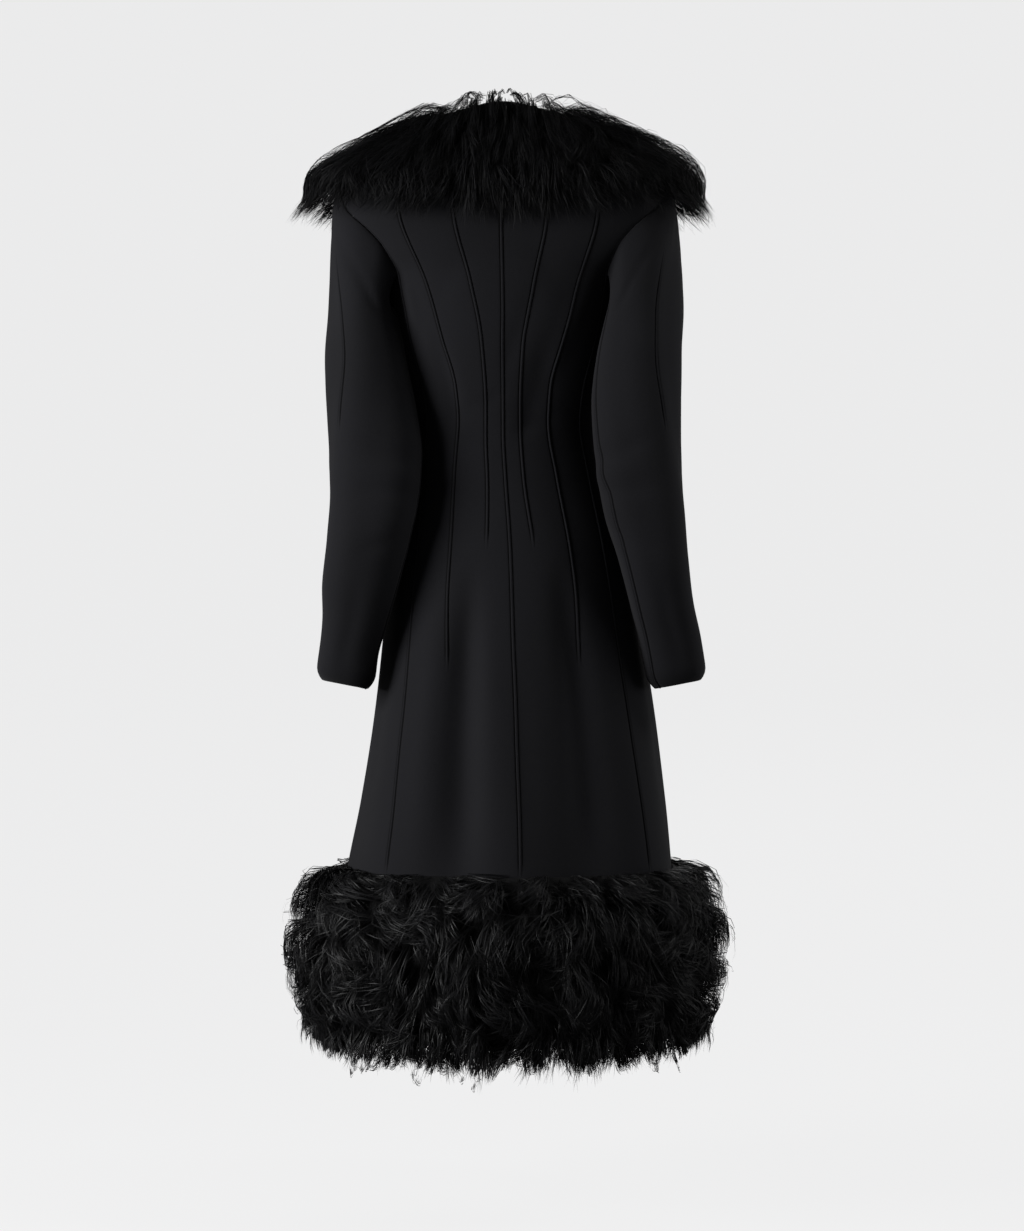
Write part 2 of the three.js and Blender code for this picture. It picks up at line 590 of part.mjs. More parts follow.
// The fur band of the hem from its top edge to its tips: out from the skirt, height, and height of its inner face.
const HEM_FUR = [
  { out: 4, z: -955, under: -958 },
  { out: 18, z: -953, under: -965 },
  { out: 38, z: -957, under: -977 },
  { out: 53, z: -972, under: -992 },
  { out: 63, z: -1000, under: -1014 },
  { out: 65, z: -1042, under: -1044 },
  { out: 61, z: -1084, under: -1084 },
  { out: 54, z: -1121, under: -1124 },
  { out: 39, z: -1149, under: -1146 },
  { out: 22, z: -1167, under: -1160 },
  { out: 8, z: -1179, under: -1168 },
];
const HEM_LOCKS = 27;
const HEM = { clear: 1.3, endGap: 0.4 };
const HEM_LOCK = { bulge: 5.5, small: 0.5, sag: 2, tip: 13, tipVaries: 8, between: 3, tipsFrom: 7 };
const HEM_TIP_ROWS = HEM_FUR.length - 1 - HEM_LOCK.tipsFrom;

for (const [side, suffix] of [[1, "left"], [-1, "right"]]) {
  const grid = (place) =>
    HEM_FUR.map((level, row) =>
      Array.from({ length: HEM_LOCKS + 1 }, (_, lock) => {
        const end = degreesFor(HEM.endGap, 180, HEM_Z);
        const degrees = side * lerp(end, 180 - end, lock / HEM_LOCKS);
        const seam = lock === 0 || lock === HEM_LOCKS ? 0 : 1;
        return place(level, degrees, lock, row, seam);
      }),
    );
  const outer = grid(({ out, z }, degrees, lock, row, seam) => {
    const rimmed = row === 0 ? 0 : 1;
    const { bulge, small, sag, tip: long, tipVaries, between, tipsFrom } = HEM_LOCK;
    const swell = uneven(lock >> 1, row >> 1, side) + small * uneven(lock, row, side + 4);
    const drop = lock % 2 ? long + tipVaries * uneven(lock, 2, side) : between * uneven(lock, 7, side);
    const tip = drop * ease((row - tipsFrom) / HEM_TIP_ROWS);
    const height = z - tip + rimmed * seam * sag * uneven(lock, row, 9);
    const reach = out + rimmed * seam * bulge * swell + lapOver(degrees, z);
    return bodyPoint(degrees, z).setZ(height).addScaledVector(bodyNormal(degrees, z).setZ(0), reach);
  });
  const under = grid(({ under: z }, degrees) =>
    bodyPoint(degrees, z).addScaledVector(bodyNormal(degrees, z), HEM.clear + lapOver(degrees, z)),
  );
  addWall("hem_fur_" + suffix, outer, under, "fur");
}

// Height of each button, and how far its shank starts above the smooth front.
const BUTTONS = [
  { z: -262, clear: -0.3 },
  { z: -362, clear: 0.8 },
  { z: -462, clear: 0.8 },
  { z: -562, clear: 0.8 },
];
const BUTTON_SIDES = 14;
const BUTTON_PROFILE = [
  { r: 4.5, up: 0 },
  { r: 4.5, up: 1.8 },
  { r: 12.8, up: 2.2 },
  { r: 14, up: 3.4 },
  { r: 13.4, up: 5.6 },
  { r: 11, up: 5.4 },
];

BUTTONS.forEach(({ z, clear }, i) => {
  const across = new THREE.Quaternion().setFromUnitVectors(new THREE.Vector3(0, 0, 1), bodyNormal(180, z));
  const base = bodyPoint(180, z).addScaledVector(bodyNormal(180, z), LAP.lift + clear);
  const place = (r, up, k) => {
    const t = (2 * Math.PI * k) / BUTTON_SIDES;
    return new THREE.Vector3(r * Math.cos(t), r * Math.sin(t), up).applyQuaternion(across).add(base);
  };
  const rings = BUTTON_PROFILE.map(({ r, up }) => [...Array(BUTTON_SIDES).keys()].map((k) => place(r, up, k)));
  const points = [...rings.flat(), place(0, BUTTON_PROFILE[0].up, 0), place(0, BUTTON_PROFILE.at(-1).up, 0)];
  const [under, over] = [points.length - 2, points.length - 1];
  const top = (rings.length - 1) * BUTTON_SIDES;
  const triangles = [];
  for (let k = 0; k < BUTTON_SIDES; k += 1) {
    const next = (k + 1) % BUTTON_SIDES;
    triangles.push([under, next, k], [over, top + k, top + next]);
    for (let r = 0; r < top; r += BUTTON_SIDES) {
      const [a, b, c, d] = [r + k, r + next, r + BUTTON_SIDES + next, r + BUTTON_SIDES + k];
      triangles.push([a, b, c], [a, c, d]);
    }
  }
  addSolid("button_" + (i + 1), points, triangles, "button");
});

export default group;
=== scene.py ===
"""A fitted wool coat with a fur collar and a fur hem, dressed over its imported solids.

Sizes are millimetres, and meshes are made in metres. +Z is up, the front is toward -Y and the coat's left
toward +X. Places on the body are degrees round from centre back toward the coat's left, and a height.
"""

import logging
import math
from dataclasses import dataclass, field
from enum import Enum
from typing import Callable, Sequence

import bpy
import numpy as np
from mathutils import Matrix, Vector


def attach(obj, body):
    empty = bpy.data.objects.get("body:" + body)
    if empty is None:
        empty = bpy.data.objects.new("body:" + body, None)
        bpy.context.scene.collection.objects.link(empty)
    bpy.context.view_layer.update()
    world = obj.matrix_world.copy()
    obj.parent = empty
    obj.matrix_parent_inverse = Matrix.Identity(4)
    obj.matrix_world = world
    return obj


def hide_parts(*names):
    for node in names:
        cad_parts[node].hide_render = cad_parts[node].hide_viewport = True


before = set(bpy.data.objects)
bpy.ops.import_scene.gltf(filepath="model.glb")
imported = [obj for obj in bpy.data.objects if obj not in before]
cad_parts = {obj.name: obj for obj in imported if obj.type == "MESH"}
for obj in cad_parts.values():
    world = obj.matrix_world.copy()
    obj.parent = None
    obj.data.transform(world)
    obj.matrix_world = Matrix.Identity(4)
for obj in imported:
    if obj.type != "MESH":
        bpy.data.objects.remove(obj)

Array = np.ndarray
log = logging.getLogger("coat")

MM = 0.001
PHOTO = (1024, 1231)
SEED = 20
WALL = 2.6
HEM_Z, FUR_JOIN_Z, UNDER_COLLAR_Z = -1150.0, -957.0, -70.0
TIP_Z, SIDE_TOP_Z, UNDERARM_Z, SIDE_LEVEL_Z = -58.0, -195.0, -212.0, -240.0
NECK_BACK, NECK_FRONT = 16.0, -52.0
SHORT_DART_Z, LONG_DART_Z = -546.0, -698.0
HEM_ROWS = 20.0
UP = np.array([0.0, 0.0, 1.0])


class Side(Enum):
    """The two halves of the coat."""

    LEFT = 1
    RIGHT = -1

    @property
    def word(self) -> str:
        """The half's name in the names of pieces."""
        return self.name.lower()


class Slot(Enum):
    """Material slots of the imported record."""

    CLOTH = "cloth"
    FUR = "fur"
    BUTTON = "button"


def ease(t: Array | float) -> Array:
    """A smooth step from 0 to 1 for t from 0 to 1."""
    t = np.clip(t, 0.0, 1.0)
    return t * t * (3.0 - 2.0 * t)


def lerp(a: Array | float, b: Array | float, t: Array | float) -> Array:
    """The value a share t of the way from a to b."""
    return a + (b - a) * t


def unit(v: Array) -> Array:
    """Vectors of length 1."""
    return v / np.maximum(np.linalg.norm(v, axis=-1, keepdims=True), 1e-9)


class Profile:
    """Rows of numbers under named columns, joined by smooth curves that don't overshoot."""

    def __init__(self, columns: str, *rows: tuple[float, ...]) -> None:
        """Keeps the rows and works out their slopes.

        Args:
            columns: The columns' names, of which the first is the key.
            rows: One tuple for each row.
        """
        data = np.array(sorted(rows), float).reshape(len(rows), len(columns.split()))
        self.keys, self.values = data[:, 0], data[:, 1:]
        step = np.diff(self.values, axis=0) / np.diff(self.keys)[:, None]
        product = step[:-1] * step[1:]
        total = np.where(product > 0, step[:-1] + step[1:], 1.0)
        self.slopes = np.vstack([step[:1], np.where(product > 0, 2 * product / total, 0.0), step[-1:]])

    def __call__(self, key: Array | float) -> Array:
        """Every column after the first at some keys.

        Args:
            key: Where to read the rows.

        Returns:
            An array for each column, stacked.
        """
        key = np.asarray(key, float)
        i = np.clip(np.searchsorted(self.keys, key) - 1, 0, len(self.keys) - 2)
        inside = np.clip(key, self.keys[0], self.keys[-1])
        wide = (self.keys[i + 1] - self.keys[i])[..., None]
        t = ((inside - self.keys[i])[..., None]) / wide
        p, q = self.values[i], self.values[i + 1]
        m, n = self.slopes[i] * wide, self.slopes[i + 1] * wide
        curve = p * (2 * t**3 - 3 * t**2 + 1) + q * (3 * t**2 - 2 * t**3)
        curve = curve + m * (t**3 - 2 * t**2 + t) + n * (t**3 - t**2)
        beyond = (key - inside)[..., None] / wide
        return np.moveaxis(curve + beyond * np.where(beyond < 0, m, n), -1, 0)


class Surface:
    """A surface given by two numbers, with its normal."""

    outward = 1.0
    nudge = (0.4, 1.5)

    def point(self, u: Array, v: Array) -> Array:
        """Points on the surface, in mm."""
        raise NotImplementedError

    def normal(self, u: Array, v: Array) -> Array:
        """Unit normals that point out of the garment."""
        du, dv = self.nudge
        a = self.point(u + du, v) - self.point(u - du, v)
        b = self.point(u, v + dv) - self.point(u, v - dv)
        return unit(np.cross(a, b)) * self.outward

    def mm_per_u(self, u: Array, v: Array) -> Array:
        """Length on the surface of one unit of u."""
        du = self.nudge[0]
        return np.linalg.norm(self.point(u + du, v) - self.point(u - du, v), axis=-1) / (2 * du)

    def u_per_mm(self, u: Array, v: Array) -> Array:
        """How much of u one mm is."""
        return 1.0 / self.mm_per_u(u, v)


def ring_reach(t: Array, half: Array, depth: Array, square: Array) -> Array:
    """Distance from the axis of a rounded ring at an angle.

    Args:
        t: Angle from straight behind, in radians.
        half: Half width.
        depth: Depth on this side of the axis.
        square: Squareness, where 2 is an ellipse.

    Returns:
        The distance.
    """
    return (np.abs(np.sin(t) / half) ** square + np.abs(np.cos(t) / depth) ** square) ** (-1 / square)


@dataclass
class Body(Surface):
    """The outer face of the coat's body."""

    outward = -1.0
    profile: Profile = field(default_factory=lambda: Profile(
        "z half back front lean square turn",
        (16, 62, 60, 46, 5, 2, 2), (0, 76, 66, 51, 5, 2, 2), (-15, 110, 72, 57, 5, 2.1, 2),
        (-30, 145, 78, 63, 5, 2.2, 2), (-45, 179, 84, 70, 5, 2.4, 2), (TIP_Z, 204, 89, 76, 5, 2.6, 2),
        (-85, 210, 96, 88, 5, 3, 2), (-110, 209, 100, 100, 5, 3.1, 2), (-159, 184, 104, 120, 5, 2.8, 1.6),
        (SIDE_TOP_Z, 156, 104, 130, 5, 2.4, 1.2), (-240, 145, 101, 133, 5, 2.25, 0.8),
        (-289, 139, 96, 126, 6, 2.2, 0.5), (-340, 130, 88, 113, 6, 2.15, 0.2),
        (-395, 121, 81, 104, 6, 2.1, 0), (-456, 131, 89, 109, 3, 2.1, 0), (-546, 156, 114, 122, -3, 2.1, 0),
        (-640, 167, 132, 133, -6, 2.05, 0), (-770, 185.5, 153, 150, -9, 2, -0.6),
        (-870, 200, 170, 165, -8, 2, -2), (FUR_JOIN_Z, 213, 186, 180, -4, 2, -3.5),
        (-1060, 224, 202, 195, 0, 2, -4.5), (HEM_Z, 230, 210, 203, 1, 2, -5),
        (-1230, 232, 212, 205, 1, 2, -5),
    ))
    # Each fold's degrees, how far out it is at the hem, and its width in degrees.
    folds: tuple[tuple[float, float, float], ...] = (
        (-52, 8, 13), (-24, -8, 12), (2, 6, 12), (27, -6, 12), (55, 8, 14), (84, -5, 14), (113, 8, 15),
        (143, -6, 13), (-84, -5, 14), (-113, 8, 15), (-143, -6, 13),
    )
    fold_start_z: float = -560.0

    def point(self, u: Array, v: Array) -> Array:
        """Points at degrees u and heights v."""
        u, v = np.broadcast_arrays(np.asarray(u, float), np.asarray(v, float))
        half, back, front, lean, square, turn = self.profile(v)
        t = np.radians(u + turn)
        reach = ring_reach(t, half, np.where(np.cos(t) > 0, back, front), square)
        grown = ease((self.fold_start_z - v) / (self.fold_start_z - FUR_JOIN_Z))
        for at, out, wide in self.folds:
            away = (u - at + 180.0) % 360.0 - 180.0
            reach = reach + grown * out * np.exp(-((away / wide) ** 2))
        return np.stack([lean + reach * np.sin(t), reach * np.cos(t), v], -1)

    def angle_at(self, x: Array, z: Array, behind: bool) -> Array:
        """Degrees whose point lies x mm beside the axis, behind it or in front."""
        half, back, front, _, square, _ = self.profile(z)
        share = np.minimum(0.999, x / half)
        depth = (back if behind else front) * (1 - share**square) ** (1 / square)
        return np.degrees(np.arctan2(x, depth if behind else -depth))


BODY = Body()


class Line:
    """A seam of the body, as a distance from the axis at each height."""

    def __init__(self, behind: bool, *rows: tuple[float, float]) -> None:
        """Keeps the seam's rows of height and distance."""
        self.behind = behind
        self.profile = Profile("z x", *rows)

    def __call__(self, z: Array) -> Array:
        """Degrees of the seam at heights z."""
        return BODY.angle_at(self.profile(z)[0], np.asarray(z, float), self.behind)


SHORT_WELT = Line(
    True, (16, 24), (0, 33), (-45, 58), (-109, 60), (-210, 40), (-289, 26), (-365, 22), (-450, 23),
    (SHORT_DART_Z, 30), (-700, 40), (FUR_JOIN_Z, 60), (HEM_Z, 70),
)
LONG_WELT = Line(
    True, (16, 46), (0, 58), (-45, 118), (-109, 127), (-207, 97), (-280, 77), (-340, 61), (-385, 58),
    (-450, 65), (-554, 77), (-608, 82), (LONG_DART_Z, 86), (FUR_JOIN_Z, 112), (HEM_Z, 124),
)
SIDE_BACK = Line(
    True, (SIDE_TOP_Z, 133), (-280, 118), (-350, 101), (-385, 98), (-434, 104), (-525, 116), (-581, 123),
    (-637, 129), (-715, 136), (-815, 146), (-884, 153), (FUR_JOIN_Z, 161), (HEM_Z, 176),
)
FRONT_SEAM = Line(
    False, (SIDE_TOP_Z, 120), (-245, 98), (-340, 80), (-395, 74), (-500, 84), (-640, 104), (-815, 124),
    (FUR_JOIN_Z, 142), (HEM_Z, 158),
)
BACK_AT_TOP = float(SIDE_BACK(SIDE_TOP_Z))
FRONT_AT_TOP = float(FRONT_SEAM(SIDE_TOP_Z))
ARMHOLE = Profile(
    "z back front", (0, 90, 90), (TIP_Z, 90, 90), (-70, 86.5, 93), (-85, 82, 97), (-109, 74.5, 104),
    (-135, 66.5, 112), (-165, 62.5, 119), (SIDE_TOP_Z, BACK_AT_TOP, FRONT_AT_TOP),
)


def back_edge(z: Array) -> Array:
    """Degrees of the back panel's outer edge: the armhole, then the side-back seam."""
    return np.where(z > SIDE_TOP_Z, ARMHOLE(z)[0], SIDE_BACK(z))


def front_edge(z: Array) -> Array:
    """Degrees of the front panel's outer edge: the armhole, then the front seam."""
    return np.where(z > SIDE_TOP_Z, ARMHOLE(z)[1], FRONT_SEAM(z))


def neck_z(degrees: Array) -> Array:
    """Height of the neckline."""
    c = np.cos(np.radians(degrees))
    return np.where(c > 0, NECK_BACK * c**2, NECK_FRONT * np.abs(c) ** 1.6)


def underarm_z(degrees: Array) -> Array:
    """Height of the side panel's top edge, which dips under the arm."""
    across = np.clip((degrees - BACK_AT_TOP) / (FRONT_AT_TOP - BACK_AT_TOP), 0.0, 1.0)
    return lerp(SIDE_TOP_Z, UNDERARM_Z, np.sin(np.pi * across) ** 0.8)


@dataclass
class Lap:
    """The right front over the left."""

    past: float = 18.0
    fade: float = 30.0
    lift: float = WALL + 0.9

    fur_fades: float = 2.0

    def over(self, degrees: Array, z: Array) -> Array:
        """Height that the lap adds under the fur, where it fades further out."""
        from_centre = (180.0 - np.abs(degrees)) * BODY.mm_per_u(np.full_like(z, 180.0), z)
        return self.lift * ease((self.past + self.fur_fades * self.fade - from_centre) / self.fade)

    def cloth(self, degrees: Array, z: Array) -> Array:
        """Height of the right front above the left, fading away from the lap."""
        from_centre = (180.0 + degrees) * BODY.mm_per_u(np.full_like(z, 180.0), z)
        return self.lift * ease((self.past + self.fade - from_centre) / self.fade)


LAP = Lap()


@dataclass
class Shoulders(Surface):
    """What the collar lies on: the body with the heads of the sleeves."""

    outward = -1.0
    lean: float = 5.0
    turn: float = 2.0
    profile: Profile = field(default_factory=lambda: Profile(
        "z half back front square",
        (20, 60, 59, 45, 2), (0, 77, 66, 51, 2), (-15, 111, 72, 57, 2.1), (-30, 146, 78, 63, 2.2),
        (-45, 180, 84, 70, 2.4), (TIP_Z, 208, 89, 76, 2.6), (-68, 220, 92, 81, 2.8), (-85, 227, 97, 89, 3),
        (-110, 232, 101, 102, 3.1), (-150, 236, 105, 119, 3.2), (-200, 238, 107, 134, 3.2),
    ))

    def point(self, u: Array, v: Array) -> Array:
        """Points at degrees u and heights v."""
        u, v = np.broadcast_arrays(np.asarray(u, float), np.asarray(v, float))
        half, back, front, square = self.profile(v)
        t = np.radians(u + self.turn)
        reach = ring_reach(t, half, np.where(np.cos(t) > 0, back, front), square)
        return np.stack([self.lean + reach * np.sin(t), reach * np.cos(t), v], -1)


@dataclass
class Sleeve(Surface):
    """The outer face of a sleeve: turns round it, and 0 to 1 down the head, 1 to 2 down to the cuff."""

    side: Side
    rings: Profile
    seams: Profile
    top_z: float = -250.0
    cuff_z: float = -719.0
    setback: float = 0.9
    cap_out: float = 0.42
    cap_drop: float = 0.2
    square: float = 2.6
    cuff_rise: float = 6.0
    rise_from: float = 1.6
    cuff_curl: float = 8.5
    curl_from: float = 1.955
    curl_power: float = 2.5
    nudge = (0.006, 0.01)

    def __post_init__(self) -> None:
        """Measures both halves of the armhole edge."""
        self.outward = -float(self.side.value)
        self.halves = [self._half(0, BACK_AT_TOP), self._half(1, FRONT_AT_TOP)]

    def _half(self, column: int, corner: float) -> tuple[Array, Array, Array]:
        """Half of the armhole edge from the shoulder tip to the underarm.

        Args:
            column: Which column of ARMHOLE it is.
            corner: Degrees where it meets the side seam.

        Returns:
            Shares along the edge, with the degrees and the height at each.
        """
        z = np.linspace(TIP_Z, SIDE_TOP_Z, 24)
        under = np.linspace(corner, (BACK_AT_TOP + FRONT_AT_TOP) / 2, 12)[1:]
        a = np.concatenate([ARMHOLE(z)[column], under])
        z = np.concatenate([z, underarm_z(under)])
        p = BODY.point(self.side.value * a, z)
        run = np.concatenate([[0.0], np.cumsum(np.linalg.norm(np.diff(p, axis=0), axis=-1))])
        return run / run[-1], a, z

    def edge(self, turn: Array) -> tuple[Array, Array]:
        """Degrees and height on the body of the armhole edge, set back inside the hole."""
        around = turn % 1.0
        behind = around <= 0.5
        share = np.where(behind, around * 2, (1 - around) * 2)
        (s0, a0, z0), (s1, a1, z1) = self.halves
        a = np.where(behind, np.interp(share, s0, a0), np.interp(share, s1, a1))
        z = np.where(behind, np.interp(share, s0, z0), np.interp(share, s1, z1))
        scale = BODY.mm_per_u(self.side.value * a, z)
        dx = ((BACK_AT_TOP + FRONT_AT_TOP) / 2 - a) * scale
        dz = (TIP_Z + UNDERARM_Z) / 2 - z
        share = self.setback / np.hypot(dx, dz)
        return self.side.value * (a + dx * share / scale), z + dz * share

    def ring(self, turn: Array, along: Array) -> Array:
        """Points on the sleeve below its head."""
        level = lerp(self.top_z, self.cuff_z, along - 1)
        beside, behind, wide, deep, twist = self.rings(level)
        phi = 2 * np.pi * turn
        end = np.clip((along - self.curl_from) / (2 - self.curl_from), 0, 1)
        curl = self.cuff_curl * end**self.curl_power
        out = ring_reach(phi, np.ones_like(phi), np.ones_like(phi), self.square)
        w, d, t = (wide - curl) * out * np.cos(phi), (deep - curl) * out * np.sin(phi), np.radians(twist)
        rise = self.cuff_rise * np.cos(phi) * ease((along - self.rise_from) / (2 - self.rise_from))
        x = self.side.value * (beside + w * np.cos(t) - d * np.sin(t))
        return np.stack([x, behind + w * np.sin(t) + d * np.cos(t), level + rise], -1)

    def point(self, u: Array, v: Array) -> Array:
        """Points at turns u and shares along v."""
        u, v = np.broadcast_arrays(np.asarray(u, float), np.asarray(v, float))
        below = self.ring(u, np.maximum(v, 1.0))
        a, z = self.edge(u)
        start, end = BODY.point(a, z), self.ring(u, np.ones_like(u))
        length = np.linalg.norm(end - start, axis=-1, keepdims=True)
        drop = self.cap_drop * length * np.maximum(0.0, np.cos(2 * np.pi * u))[..., None]
        leave = BODY.normal(a, z) * self.cap_out * length - drop * UP
        arrive = unit(self.ring(u, np.full_like(u, 1.02)) - end) * length
        t = np.clip(v, -0.02, 1.0)[..., None]
        head = start * (2 * t**3 - 3 * t**2 + 1) + end * (3 * t**2 - 2 * t**3)
        head = head + leave * (t**3 - 2 * t**2 + t) + arrive * (t**3 - t**2)
        return np.where((v >= 1.0)[..., None], below, head)

    def u_per_mm(self, u: Array, v: Array) -> Array:
        """How much of a turn one mm is, read just below the armhole where the head starts."""
        return super().u_per_mm(u, np.maximum(v, 0.02))

    def back_seam(self, along: Array) -> Array:
        """Turns of the seam behind the arm."""
        return self.seams(along)[0]

    def front_seam(self, along: Array) -> Array:
        """Turns of the seam before the arm."""
        return self.seams(along)[1]

    def over_front_seam(self, along: Array) -> Array:
        """The same seam as the first edge of the outer sleeve, one turn back."""
        return self.front_seam(along) - 1.0


SLEEVES = {
    Side.LEFT: Sleeve(
        Side.LEFT,
        Profile(
            "z beside behind wide deep twist", (-250, 191, 22, 39, 65, 16), (-300, 185.5, 40, 46, 60, 22),
            (-370, 176.5, 52, 54.5, 60, 14), (-430, 171, 70, 57.5, 56, 6), (-470, 171, 80, 56, 54, 0),
            (-530, 178, 88, 52, 52, 0), (-590, 188.5, 82, 48, 49, 0), (-640, 196, 71, 41, 46, 0),
            (-680, 204, 62, 37.5, 43, 0), (-719, 209, 54, 38, 41, 0),
        ),
        Profile("along back front", (0, 0.33, 0.7), (1, 0.42, 0.69), (1.45, 0.475, 0.68),
                (1.75, 0.43, 0.67), (2, 0.4, 0.66)),
    ),
    Side.RIGHT: Sleeve(
        Side.RIGHT,
        Profile(
            "z beside behind wide deep twist", (-250, 176, 48, 41, 64, 28), (-300, 169, 66, 47.5, 60, 28),
            (-370, 165, 74, 53.5, 58, 20), (-440, 167, 80, 54, 55, 10), (-500, 173.5, 88, 51.5, 52, 0),
            (-560, 185, 91, 44.5, 49, 0), (-620, 197, 80, 40, 46, 0), (-660, 207, 68, 39, 44, 0),
            (-719, 218, 54, 38, 41, 0),
        ),
        Profile("along back front", (0, 0.33, 0.7), (1, 0.36, 0.69), (1.45, 0.375, 0.68),
                (1.75, 0.375, 0.67), (2, 0.38, 0.66)),
    ),
}


class Socket:
    """A socket's value in arithmetic: an expression adds the Math nodes that work it out."""

    def __init__(self, graph: "Graph", link: bpy.types.NodeSocket) -> None:
        """Wraps an output socket of a graph."""
        self.graph, self.link = graph, link

    def _math(self, operation: str, a: "Socket | float", b: "Socket | float") -> "Socket":
        """The result of one Math node."""
        return self.graph.out("ShaderNodeMath", {"operation": operation}, {0: a, 1: b}, "Value")

    def __add__(self, other: "Socket | float") -> "Socket":
        """Sum."""
        return self._math("ADD", self, other)

    def __sub__(self, other: "Socket | float") -> "Socket":
        """Difference."""
        return self._math("SUBTRACT", self, other)

    def __rsub__(self, other: float) -> "Socket":
        """Difference from a number."""
        return self._math("SUBTRACT", other, self)

    def __mul__(self, other: "Socket | float") -> "Socket":
        """Product."""
        return self._math("MULTIPLY", self, other)

    __radd__ = __add__
    __rmul__ = __mul__


class Graph:
    """The node graph of one material, with its Principled shader."""

    def __init__(self, name: str) -> None:
        """Makes the material and its shader."""
        self.material = bpy.data.materials.new(name)
        self.material.use_nodes = True
        self.tree = self.material.node_tree
        self.shader = self.tree.nodes["Principled BSDF"]

    def node(self, kind: str, settings: dict | None = None, sockets: dict | None = None) -> bpy.types.Node:
        """Adds a node.

        Args:
            kind: Blender's name for the node's type.
            settings: Its settings, such as a Math node's operation or a ramp's stops.
            sockets: Values or links of its input sockets, by name or place.

        Returns:
            The node.
        """
        made = self.tree.nodes.new(kind)
        for name, value in (settings or {}).items():
            if name == "stops":
                while len(made.color_ramp.elements) < len(value):
                    made.color_ramp.elements.new(0.5)
                for element, (at, shade) in zip(made.color_ramp.elements, value):
                    element.position, element.color = at, (shade, shade, shade, 1.0)
            else:
                setattr(made, name, value)
        for name, value in (sockets or {}).items():
            self.put(made.inputs[name], value)
        return made

    def out(self, kind: str, settings: dict | None, sockets: dict | None, output: str | int) -> Socket:
        """Adds a node and wraps one of its outputs."""
        return Socket(self, self.node(kind, settings, sockets).outputs[output])

    def put(self, target: bpy.types.NodeSocket, value: "Socket | float | tuple") -> None:
        """Links a wrapped socket to an input, or sets the input's own value."""
        if isinstance(value, Socket):
            self.tree.links.new(value.link, target)
        else:
            target.default_value = value

    def noise(self, scale: Sequence[float], detail: float = 2.0, rough: float = 0.5,
              warp: float = 0.0) -> Socket:
        """Noise over the object's own space, in metres.

        Args:
            scale: Cells to the metre along X, Y and Z.
            detail: Octaves.
            rough: Roughness of the octaves.
            warp: Distortion.

        Returns:
            The noise, from 0 to 1.
        """
        where = self.out("ShaderNodeTexCoord", None, None, "Object")
        placed = self.out("ShaderNodeMapping", None, {"Vector": where, "Scale": tuple(scale)}, "Vector")
        sockets = {"Vector": placed, "Scale": 1.0, "Detail": detail, "Roughness": rough, "Distortion": warp}
        return self.out("ShaderNodeTexNoise", None, sockets, "Fac")

    def ramp(self, value: Socket, *stops: tuple[float, float]) -> Socket:
        """A value through grey stops of place and shade."""
        return self.out("ShaderNodeValToRGB", {"stops": stops}, {"Fac": value}, "Color")

    def blend(self, share: Socket | float, a: "tuple | Socket", b: "tuple | Socket") -> Socket:
        """A colour between two colours."""
        sockets = {"Factor": share, 6: a, 7: b}
        return self.out("ShaderNodeMix", {"data_type": "RGBA"}, sockets, 2)

    def attribute(self, name: str) -> Socket:
        """A value kept at the mesh's points."""
        return self.out("ShaderNodeAttribute", {"attribute_name": name}, None, "Fac")

    def bump(self, height: Socket, distance: float, strength: float = 1.0) -> Socket:
        """A normal raised by a height, with the distance in mm."""
        sockets = {"Height": height, "Distance": distance * MM, "Strength": strength}
        return self.out("ShaderNodeBump", None, sockets, "Normal")

    def finish(self, varying: dict[str, Socket], constant: dict[str, float | tuple]) -> bpy.types.Material:
        """Dresses the shader.

        Args:
            varying: Links to the shader's sockets.
            constant: Values set on its sockets.

        Returns:
            The material.
        """
        for name, value in {**constant, **varying}.items():
            self.put(self.shader.inputs[name], value)
        return self.material


def grey(value: float, cool: float = 1.0) -> tuple[float, float, float, float]:
    """A dark neutral colour, a little cool where cool is over 1."""
    return (value, value, value * cool, 1.0)


@dataclass(frozen=True)
class Wool:
    """Brushed black coating wool with a fine upright nap."""

    dark: tuple = grey(0.0052, 1.16)
    light: tuple = grey(0.0105, 1.2)
    # Painted shade: this colour darkens the seams' sunk lines, where shade falls in the grooves
    groove: tuple = grey(0.0022)
    sheen: float = 0.05

    def material(self) -> bpy.types.Material:
        """The cloth's material."""
        g = Graph("brushed_wool")
        fibre = g.noise((2600, 2600, 330), 3.0, 0.62, 0.4)
        felt = g.noise((900, 900, 620), 3.0, 0.6, 0.8)
        cloud = g.noise((9, 9, 5), 2.0)
        # The groove attribute is painted shade along the seams' sunk lines
        sunk = g.attribute("groove")
        worn = g.ramp(fibre * 0.5 + felt * 0.3 + cloud * 0.35, (0.38, 0.0), (0.78, 1.0))
        colour = g.blend(sunk, g.blend(worn, self.dark, self.light), self.groove)
        relief = g.bump(fibre * 0.6 + felt * 0.6, 0.28, 0.55)
        return g.finish(
            {"Base Color": colour, "Roughness": g.ramp(cloud + fibre * 0.3, (0.2, 0.78), (1.0, 0.96)),
             "Normal": relief},
            {"Sheen Weight": self.sheen, "Sheen Roughness": 0.5, "Specular IOR Level": 0.07},
        )


